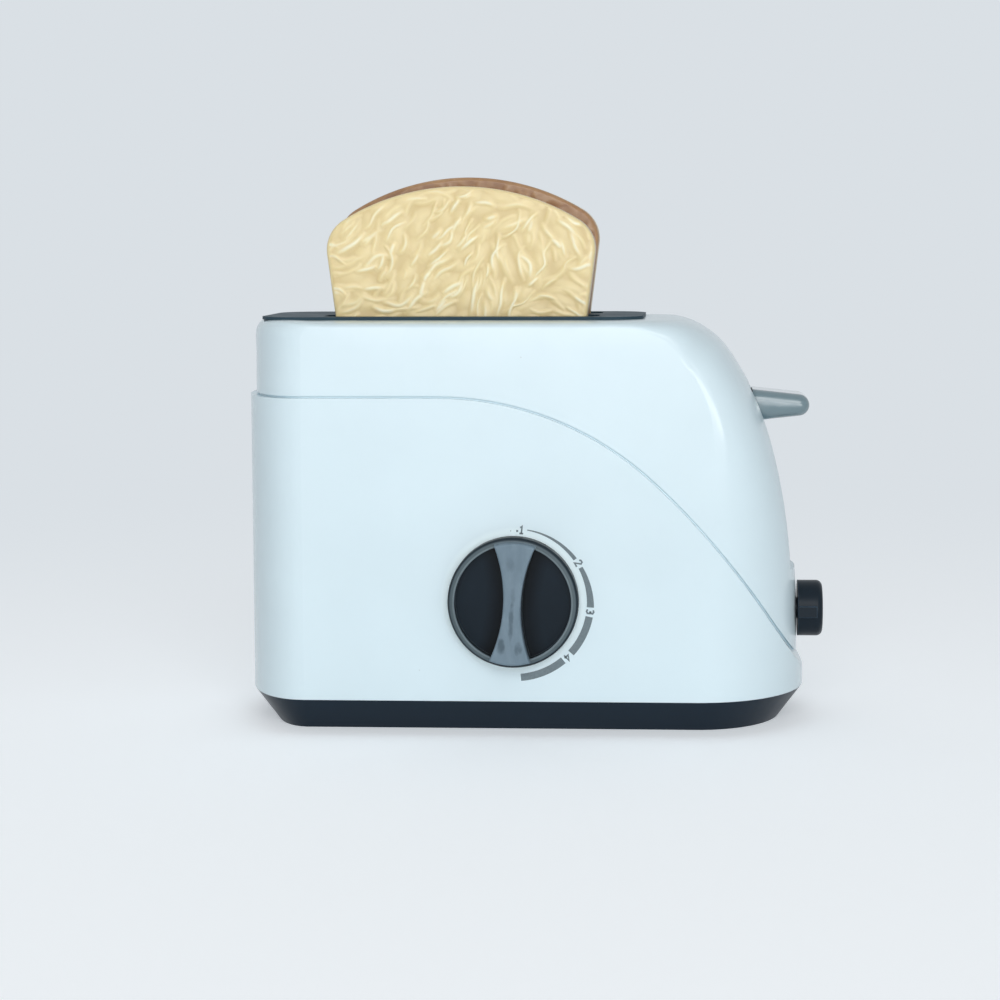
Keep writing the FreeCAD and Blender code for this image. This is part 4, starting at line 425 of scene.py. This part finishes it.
SLICE_FOOT, SLICE_WIDTH, SLICE_HEIGHT = 82.0, 102.0, 95.0
CROWN_RADIUS, CORNER_RADIUS, FOOT_RADIUS = 84.0, 13.0, 8.0
HALF_THICK, EDGE_ROUND, JOINT_CHAMFER = 6.5, 1.6, 0.25
JOINT_GAP, JOINT_RIM = 0.05, 1.6  # each half stays this far from the joint, on a rim this wide
FACE_CENTRE = Vector((0.0, 46.0))
FINE, COARSE = 0.45, 0.8  # mesh steps of the cream faces and of the toasted ones
FOOT_STEPS, ROUND_STEPS = 60, 6
FIRST_RIDGED = 9  # the first loop of a half that the ridges reach, on its rounded edge
RIDGE_RISE, RIDGE_ZERO, PLAIN_RIDGE = 0.95, 0.15, 0.5
RIM_PLAIN, RIM_FADE = 1.0, 2.5  # width without ridges along the outline, and where they come in
CRUST_SEED = 50  # what the toasted face's seed has more than the cream one's
CREST_STEP, BUCKET = 0.8, 2.0
LEAN, LEAN_SWING, LEAN_SCATTER = 42, 160, 20  # degrees
BEND, WANDER = 0.10, 0.36  # radians per millimetre
TIP_POWER = 2.5
LEAN_SCALE, WANDER_SCALE, SWELL_SCALE = 0.034, 0.22, 0.085  # noise scales per millimetre
WANDER_SEED, SWELL_SEED = 7, 40
CREST_SHARE, SWELL_SHARE = 0.86, 0.18
CRESTS = (  # pitch, half length, half width, height and share left out: fine crests, soft swells
    (4.9, (3.0, 9.5), (0.95, 1.9), (0.40, 1.0), 0.12),
    (6.5, (2.5, 6.0), (2.4, 3.8), (0.20, 0.50), 0.10),
)


def arc_points(centre, radius, start, end, step):
    steps = max(2, int(abs(end - start) * radius / step))
    for i in range(steps + 1):
        angle = start + (end - start) * i / steps
        yield centre + Vector((math.cos(angle), math.sin(angle))) * radius


def slice_outline(step):
    """The outline and its inward normals in (x, z), counter-clockwise from the foot's middle."""
    crown_z = SLICE_HEIGHT - CROWN_RADIUS
    foot, wide = SLICE_FOOT / 2, SLICE_WIDTH / 2
    corner_z = crown_z + math.sqrt(CROWN_RADIUS**2 - wide**2)
    side = Vector((wide - foot, corner_z)).normalized()
    inward = Vector((-side.y, side.x))
    start = Vector((foot, 0.0))
    low = start + inward * FOOT_RADIUS
    low += side * ((FOOT_RADIUS - low.y) / side.y)
    high = start + inward * CORNER_RADIUS
    to_crown = high - Vector((0.0, crown_z))
    reach = CROWN_RADIUS - CORNER_RADIUS
    along = to_crown.dot(side)
    high += side * (-along + math.sqrt(along**2 - to_crown.length_squared + reach**2))
    flank = math.atan2(-inward.y, -inward.x)
    crown_way = math.atan2(high.y - crown_z, high.x)
    right = [Vector((low.x * i / FOOT_STEPS, 0.0)) for i in range(FOOT_STEPS)]
    right += arc_points(low, FOOT_RADIUS, -math.pi / 2, flank, step)
    first, last = low - inward * FOOT_RADIUS, high - inward * CORNER_RADIUS
    steps = int((last - first).length / step)
    right += [first.lerp(last, i / steps) for i in range(1, steps)]
    right += arc_points(high, CORNER_RADIUS, flank, crown_way, step)
    right += list(arc_points(Vector((0.0, crown_z)), CROWN_RADIUS, crown_way, math.pi / 2, step))[1:]
    points = right + [Vector((-p.x, p.y)) for p in reversed(right[1:-1])]
    count = len(points)
    ways = [(points[(i + 1) % count] - points[i - 1]).normalized() for i in range(count)]
    return points, [Vector((-way.y, way.x)) for way in ways]


def noise_at(point, scale, seed):
    """Smooth noise from about -1 to 1 at a place in the face."""
    return noise.noise(Vector((point.x, point.y, 0.0)) * scale + Vector((0.0, 0.0, seed)))


def crests(seed):
    """Short bent crests scattered over a face, as pieces (from, to, half width, heights) by bucket."""
    rng = random.Random(seed)
    buckets = {}
    for pitch, halves, widths, heights, left_out in CRESTS:
        columns, rows = int(SLICE_WIDTH / pitch) + 2, int(SLICE_HEIGHT / pitch) + 2
        for cell in range(columns * rows):
            column, row = cell % columns, cell // columns
            aside, up = rng.uniform(-0.5, 0.5), rng.uniform(-0.5, 0.5)
            middle = Vector((column - columns / 2 + aside, row + up)) * pitch
            swing = LEAN_SWING * noise_at(middle, LEAN_SCALE, seed)
            lean = math.radians(LEAN + swing + rng.uniform(-LEAN_SCATTER, LEAN_SCATTER))
            bend = rng.uniform(-BEND, BEND)
            half, wide, high = rng.uniform(*halves), rng.uniform(*widths), rng.uniform(*heights)
            if rng.random() < left_out:
                continue
            for way in (1, -1):
                point, turn, steps = middle.copy(), lean, int(half / CREST_STEP)
                for k in range(steps):
                    wander = WANDER * noise_at(point, WANDER_SCALE, seed + WANDER_SEED)
                    turn += way * (bend + wander) * CREST_STEP
                    after = point + Vector((math.cos(turn), math.sin(turn))) * CREST_STEP * way
                    tall = [high * (1.0 - (i / steps) ** TIP_POWER) for i in (k, k + 1)]
                    for spot in buckets_near(point, wide + CREST_STEP):
                        buckets.setdefault(spot, []).append((point, after, wide, *tall))
                    point = after
    return buckets


def buckets_near(point, reach):
    """The squares of the face, BUCKET wide, that a piece of a crest may touch."""
    ways = [range(int((c - reach) // BUCKET), int((c + reach) // BUCKET) + 1) for c in point]
    return [(i, j) for i in ways[0] for j in ways[1]]


def crumple(place, buckets, seed):
    """Height of the embossed wrinkles at a place on the face, 0 to 1."""
    height = 0.0
    spot = (int(place.x // BUCKET), int(place.y // BUCKET))
    for start, end, wide, first, last in buckets.get(spot, ()):
        run = end - start
        share = min(1.0, max(0.0, (place - start).dot(run) / run.length_squared))
        near = 1.0 - (place - start - run * share).length / wide
        if near > 0.0:
            height = max(height, (first + (last - first) * share) * near * near * (3.0 - 2.0 * near))
    swell = 0.5 + 0.5 * noise_at(place, SWELL_SCALE, seed + SWELL_SEED)
    return min(1.0, CREST_SHARE * height + SWELL_SHARE * swell)


def slice_half(name, way, joint, seed, step, slot_name, body):
    """Half a slice: rim, rounded edge and embossed face. way is -1 where the face looks forward."""
    outline, normals = slice_outline(step)
    buckets = crests(seed)
    flat = HALF_THICK - EDGE_ROUND
    profile = [  # inset from the outline, and distance from the joint
        (JOINT_CHAMFER + JOINT_RIM, JOINT_GAP),
        (JOINT_CHAMFER, JOINT_GAP),
        (0.0, JOINT_CHAMFER + JOINT_GAP),
        (0.0, (JOINT_CHAMFER + flat) / 2),
    ]
    for i in range(ROUND_STEPS + 1):
        turn = math.pi / 2 * i / ROUND_STEPS
        profile.append((EDGE_ROUND * (1 - math.cos(turn)), flat + EDGE_ROUND * math.sin(turn)))
    loops = [[(p + n * inset, level) for p, n in zip(outline, normals)] for inset, level in profile]
    rings = int(FACE_CENTRE.y / step)
    face_edge = [p for p, _ in loops[-1]]
    for i in range(1, rings):
        share = 1 - i / rings
        loops.append([(FACE_CENTRE + (p - FACE_CENTRE) * share, HALF_THICK) for p in face_edge])
    form = bmesh.new()
    layer = form.verts.layers.float.new("ridge")
    rows = []
    for k, loop in enumerate(loops):
        row = []
        for (p, level), edge in zip(loop, outline):
            ridge = PLAIN_RIDGE
            if k >= FIRST_RIDGED:
                ridge = crumple(p, buckets, seed)
                fade = min(1.0, max(0.0, ((edge - p).length - RIM_PLAIN) / RIM_FADE))
                level += (ridge - RIDGE_ZERO) * RIDGE_RISE * fade
            vertex = form.verts.new(Vector((p.x, way * level, p.y)) * MM)
            vertex[layer] = ridge
            row.append(vertex)
        rows.append(row)
    tip = form.verts.new(Vector((FACE_CENTRE.x, way * HALF_THICK, FACE_CENTRE.y)) * MM)
    tip[layer] = PLAIN_RIDGE
    count = len(outline)
    for row, after in zip(rows, rows[1:]):
        for i in range(count):
            j = (i + 1) % count
            form.faces.new((row[i], row[j], after[j], after[i]))
    for i in range(count):
        form.faces.new((rows[-1][i], rows[-1][(i + 1) % count], tip))
    form.faces.new(list(reversed(rows[0])))
    for face in form.faces:
        face.smooth = True
    if way > 0:
        bmesh.ops.reverse_faces(form, faces=form.faces[:])
    bmesh.ops.translate(form, verts=form.verts[:], vec=joint)
    return new_piece(name, mesh_of(form, name), slot_name, body)


for side, cream_way, seed in (("front", -1, 3.0), ("rear", 1, 9.0)):
    cream_low, cream_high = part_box(f"{side}_slice_cream")
    joint_y = cream_high.y if cream_way < 0 else cream_low.y
    joint = Vector(((cream_low.x + cream_high.x) / 2, joint_y, cream_low.z))
    body, crust_seed = f"{side}_bread", seed + CRUST_SEED
    cream = slice_half(f"{side}_bread_crumb", cream_way, joint, seed, FINE, "bread_cream", body)
    toast = slice_half(f"{side}_bread_crust", -cream_way, joint, crust_seed, COARSE, "bread_toast", body)
    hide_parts(f"{side}_slice_cream")
    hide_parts(f"{side}_slice_toasted")


# Lift springs: coils of round wire in place of the solids' own springs, one in the box of each

SPRING_WIRE, SPRING_TURNS = 0.25, 18  # the wire's radius in millimetres, and the number of turns
TURN_STEPS, WIRE_STEPS = 28, 8


def coil_mesh(name, low, high):
    """Open right-handed coil of round wire that fills the box from low to high."""
    wire = SPRING_WIRE * MM
    middle, radius = (low + high) / 2, (high.x - low.x) / 2 - wire
    rise = (high.z - low.z - 2 * wire) / SPRING_TURNS
    angles = [math.tau * k / WIRE_STEPS for k in range(WIRE_STEPS)]
    form = bmesh.new()
    rings = []
    for i in range(SPRING_TURNS * TURN_STEPS + 1):
        turn = math.tau * i / TURN_STEPS
        out = Vector((math.cos(turn), math.sin(turn), 0.0))
        along = Vector((-out.y * radius, out.x * radius, rise / math.tau)).normalized()
        up = out.cross(along)
        place = Vector((middle.x, middle.y, low.z + wire + rise * i / TURN_STEPS)) + out * radius
        section = [place + (out * math.cos(a) + up * math.sin(a)) * wire for a in angles]
        rings.append([form.verts.new(point) for point in section])
    for ring, after in zip(rings, rings[1:]):
        for k in range(WIRE_STEPS):
            form.faces.new((ring[k - 1], ring[k], after[k], after[k - 1])).smooth = True
    form.faces.new(rings[0])
    form.faces.new(rings[-1])
    bmesh.ops.recalc_face_normals(form, faces=form.faces[:])
    return mesh_of(form, name)


lift = next(joint for joint in frame["joints"] if joint["name"] == "lift_slide")
for end in lift["deforming_nodes"]:
    low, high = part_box(end["node"])
    name = end["node"].replace("spring", "coil")
    spring = new_piece(name, coil_mesh(name, low, high), "spring_steel", "casing")
    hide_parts(end["node"])
    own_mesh(spring)


# Printed scale round the dial

PRINT_CENTRE = Vector((-1.9, 0.0, 49.0))
SHELL_FACE, PRINT_RISE = -43.0, 0.03
PRINT_FACE = SHELL_FACE - PRINT_RISE
PRINT_INNER, DOT_INSET = 26.7, 0.6
BAND_STEPS = 32
BANDS = (  # first way and width, last way and width: degrees clockwise from the top, millimetres
    (10.7, 0.37, 55.0, 1.45),
    (62.6, 1.60, 94.0, 2.65),
    (101.1, 2.70, 132.1, 2.70),
    (140.1, 2.70, 175.1, 2.70),
)
DOTS = ((2.9, 0.75), (-2.3, 0.34))  # way and size
ONE = (((-0.24, 0.30), (0.0, 0.5), (0.0, -0.5)), ((-0.26, -0.5), (0.26, -0.5)))
TWO = (((-0.3, 0.28), (-0.16, 0.48), (0.14, 0.48), (0.28, 0.24), (-0.3, -0.48), (0.32, -0.48)),)
THREE = (
    ((-0.28, 0.42), (0.0, 0.5), (0.24, 0.38), (0.22, 0.14), (-0.06, 0.04)),
    ((-0.06, 0.04), (0.26, -0.08), (0.26, -0.36), (0.0, -0.5), (-0.3, -0.4)),
)
FOUR = (((0.14, -0.5), (0.14, 0.5), (-0.32, -0.16), (0.36, -0.16)),)
FIGURES = (  # way and radius of the middle, then strokes of (across, up) points in figure heights
    (6.4, 26.6, ONE),
    (58.8, 27.7, TWO),
    (97.3, 28.1, THREE),
    (136.4, 28.2, FOUR),
)
FIGURE_HEIGHT, STROKE = 2.6, 0.62
SHARPEST = 0.5  # least cosine of half a corner's turn that counts, so that no corner runs out far


def on_print(turn, radius):
    angle = math.radians(turn)
    return PRINT_CENTRE + Vector((math.sin(angle) * radius, PRINT_FACE, math.cos(angle) * radius))


def band_mesh(name, stations):
    """Flat band through stations of (way, inner radius, outer radius)."""
    form = bmesh.new()
    edges = [[form.verts.new(on_print(turn, r) * MM) for r in radii] for turn, *radii in stations]
    for (a, b), (c, d) in zip(edges, edges[1:]):
        form.faces.new((a, b, d, c))
    form.normal_update()
    if form.faces[:][0].normal.y > 0:
        bmesh.ops.reverse_faces(form, faces=form.faces[:])
    return mesh_of(form, name)


for i, (start, thin, end, thick) in enumerate(BANDS, start=1):
    stations = []
    for k in range(BAND_STEPS + 1):
        share = k / BAND_STEPS
        width = thin + (thick - thin) * share
        stations.append((start + (end - start) * share, PRINT_INNER, PRINT_INNER + width))
    new_piece(f"scale_band_{i}", band_mesh(f"scale_band_{i}", stations), "dial_dark", "casing", INK)
for i, (turn, size) in enumerate(DOTS, start=1):
    half = math.degrees(size / 2 / PRINT_INNER)
    radii = (PRINT_INNER - DOT_INSET - size / 2, PRINT_INNER - DOT_INSET + size / 2)
    stations = [(turn - half, *radii), (turn + half, *radii)]
    new_piece(f"scale_dot_{i}", band_mesh(f"scale_dot_{i}", stations), "dial_dark", "casing", INK)


def stroke_mesh(name, strokes, turn, radius):
    """Figure of strokes of even width that stands on the scale's circle with its top outward."""
    form = bmesh.new()
    spin = Matrix.Rotation(math.radians(turn), 4, "Y")
    for points in strokes:
        path = [Vector((x, 0.0, z)) * FIGURE_HEIGHT for x, z in points]
        sides = []
        for i, point in enumerate(path):
            before = (point - path[i - 1]).normalized() if i else None
            after = (path[i + 1] - point).normalized() if i + 1 < len(path) else None
            way = ((before or after) + (after or before)).normalized()
            across = Vector((-way.z, 0.0, way.x))
            reach = STROKE / 2 / max(SHARPEST, way.dot(after or before))
            pair = [on_print(turn, radius) + spin @ (point + across * s) for s in (reach, -reach)]
            sides.append([form.verts.new(corner * MM) for corner in pair])
        for (a, b), (c, d) in zip(sides, sides[1:]):
            form.faces.new((a, b, d, c))
    form.normal_update()
    bmesh.ops.reverse_faces(form, faces=[face for face in form.faces if face.normal.y > 0])
    return mesh_of(form, name)


for figure, (turn, radius, strokes) in enumerate(FIGURES, start=1):
    name = f"scale_figure_{figure}"
    new_piece(name, stroke_mesh(name, strokes, turn, radius), "dial_dark", "casing", INK)


# Floor, light and camera

BACKDROP = (0.70, 0.745, 0.785)
FLOOR_GLOW = 0.40  # share of the backdrop's brightness that the floor near the toaster shows of itself
FLOOR_RADIUS = 40.0
FADE_FROM, FADE_TO = 0.1, 1.1  # distances over which the floor passes into the backdrop
FADE_SHIFT = (0.0, 0.25, 0.0)  # they are measured from a place this far in front of the toaster
FRONT_WAY = (0.1, -0.99, 0.05)
BEHIND_GAIN, LIGHT_LEAST, LIGHT_MOST = 2.0, 0.11, 1.05
LAMPS = (  # name, place, aim, width and height, watts, colour
    ("key", (0.3, -3.2, 1.75), (0, 0, 0.08), (2.6, 1.2), 43.0, (1.0, 1.0, 1.0)),
    ("low", (0.6, -2.8, 0.17), (0, 0, 0.06), (2.4, 0.34), 21.0, (0.99, 1.0, 1.0)),
    ("top", (-0.3, 0.1, 1.1), (0, 0, 0.1), (0.9, 0.6), 0.5, (1.0, 1.0, 1.0)),
)


def seen_directly(tree):
    """1 for rays of the camera, and for those that a glossy or clear surface sends on."""
    path = tree.nodes.new("ShaderNodeLightPath")
    total = path.outputs["Is Camera Ray"]
    for kind in ("Is Glossy Ray", "Is Transmission Ray"):
        more = tree.nodes.new("ShaderNodeMath")
        more.operation = "MAXIMUM"
        tree.links.new(total, more.inputs[0])
        tree.links.new(path.outputs[kind], more.inputs[1])
        total = more.outputs[0]
    return total


def floor():
    """Pale matte floor that passes into the backdrop away from the toaster, so that no edge shows."""
    form = bmesh.new()
    bmesh.ops.create_circle(form, cap_ends=True, segments=96, radius=FLOOR_RADIUS)
    ground = linked("floor", mesh_of(form, "floor"))
    g = Graph("floor")
    away = g.add("VectorMath", {0: g.place, 1: FADE_SHIFT}, operation="ADD").outputs["Vector"]
    run = g.add("VectorMath", {0: away}, operation="LENGTH").outputs["Value"]
    reach = {"Value": run, "From Min": FADE_FROM, "From Max": FADE_TO}
    fade = g.add("MapRange", reach, interpolation_type="SMOOTHSTEP").outputs[0]
    seen = seen_directly(g.tree)
    far = g.math("MULTIPLY", fade, seen)
    glow = g.math("MULTIPLY", g.spread(fade, FLOOR_GLOW, 1.0, 0.0, 1.0), seen)
    g.finish(
        {
            "Base Color": g.mix(far, (0.90, 0.92, 0.94), (0.0, 0.0, 0.0)),
            "Roughness": 0.8,
            "Specular IOR Level": 0.0,
            "Emission Color": (*BACKDROP, 1.0),
            "Emission Strength": glow,
        }
    )
    ground.data.materials.append(g.material)
    ground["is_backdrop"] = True


def lamp(name, place, aim, size, watts, colour):
    light = bpy.data.lights.new(name, "AREA")
    light.shape = "RECTANGLE"
    light.size, light.size_y = size
    light.energy = watts
    light.color = colour
    holder = linked(name, light)
    holder.location = place
    holder.rotation_euler = (Vector(aim) - Vector(place)).to_track_quat("-Z", "Y").to_euler()


def world():
    """Pale backdrop, and soft light that comes from behind and, about half as strong, from in front."""
    made = bpy.data.worlds.new("studio")
    bpy.context.scene.world = made
    made.use_nodes = True
    tree = made.node_tree
    tree.nodes.clear()

    def add(kind, **inputs):
        node = tree.nodes.new("ShaderNode" + kind)
        for key, value in inputs.items():
            socket = node.inputs[key.replace("_", " ")]
            if isinstance(value, bpy.types.NodeSocket):
                tree.links.new(value, socket)
            else:
                socket.default_value = value
        return node

    facing = tree.nodes.new("ShaderNodeVectorMath")
    facing.operation = "DOT_PRODUCT"
    tree.links.new(add("TexCoord").outputs["Generated"], facing.inputs[0])
    facing.inputs[1].default_value = FRONT_WAY
    ahead = facing.outputs["Value"]
    behind = tree.nodes.new("ShaderNodeMath")
    behind.operation = "MULTIPLY"
    tree.links.new(ahead, behind.inputs[0])
    behind.inputs[1].default_value = -BEHIND_GAIN
    way = tree.nodes.new("ShaderNodeMath")
    way.operation = "MAXIMUM"
    tree.links.new(ahead, way.inputs[0])
    tree.links.new(behind.outputs[0], way.inputs[1])
    levels = {"From_Max": BEHIND_GAIN, "To_Min": LIGHT_LEAST, "To_Max": LIGHT_MOST}
    level = add("MapRange", Value=way.outputs[0], **levels).outputs[0]
    seen = add("Background", Color=(*BACKDROP, 1.0))
    lit = add("Background", Color=(0.96, 0.985, 1.0, 1.0), Strength=level)
    blend = tree.nodes.new("ShaderNodeMixShader")
    tree.links.new(seen_directly(tree), blend.inputs[0])
    tree.links.new(lit.outputs[0], blend.inputs[1])
    tree.links.new(seen.outputs[0], blend.inputs[2])
    tree.links.new(blend.outputs[0], add("OutputWorld").inputs[0])


def camera():
    """Photograph's view: a little to the lever's side of the middle and a little above it."""
    eye, aim = Vector((0.066, -0.855, 0.1833)), Vector((0.0225, -0.043, 0.1189))
    data = bpy.data.cameras.new("camera")
    data.lens = 81.0
    data.sensor_width = 36.0
    data.shift_x, data.shift_y = -0.08, -0.0888
    holder = linked("camera", data)
    holder.location = eye
    roll = Quaternion((0, 0, 1), math.radians(-0.18))
    holder.rotation_euler = ((aim - eye).to_track_quat("-Z", "Y") @ roll).to_euler()
    bpy.context.scene.camera = holder


floor()
world()
for settings in LAMPS:
    lamp(*settings)
camera()
bpy.context.scene.view_settings.view_transform = "Standard"

low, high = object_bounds()
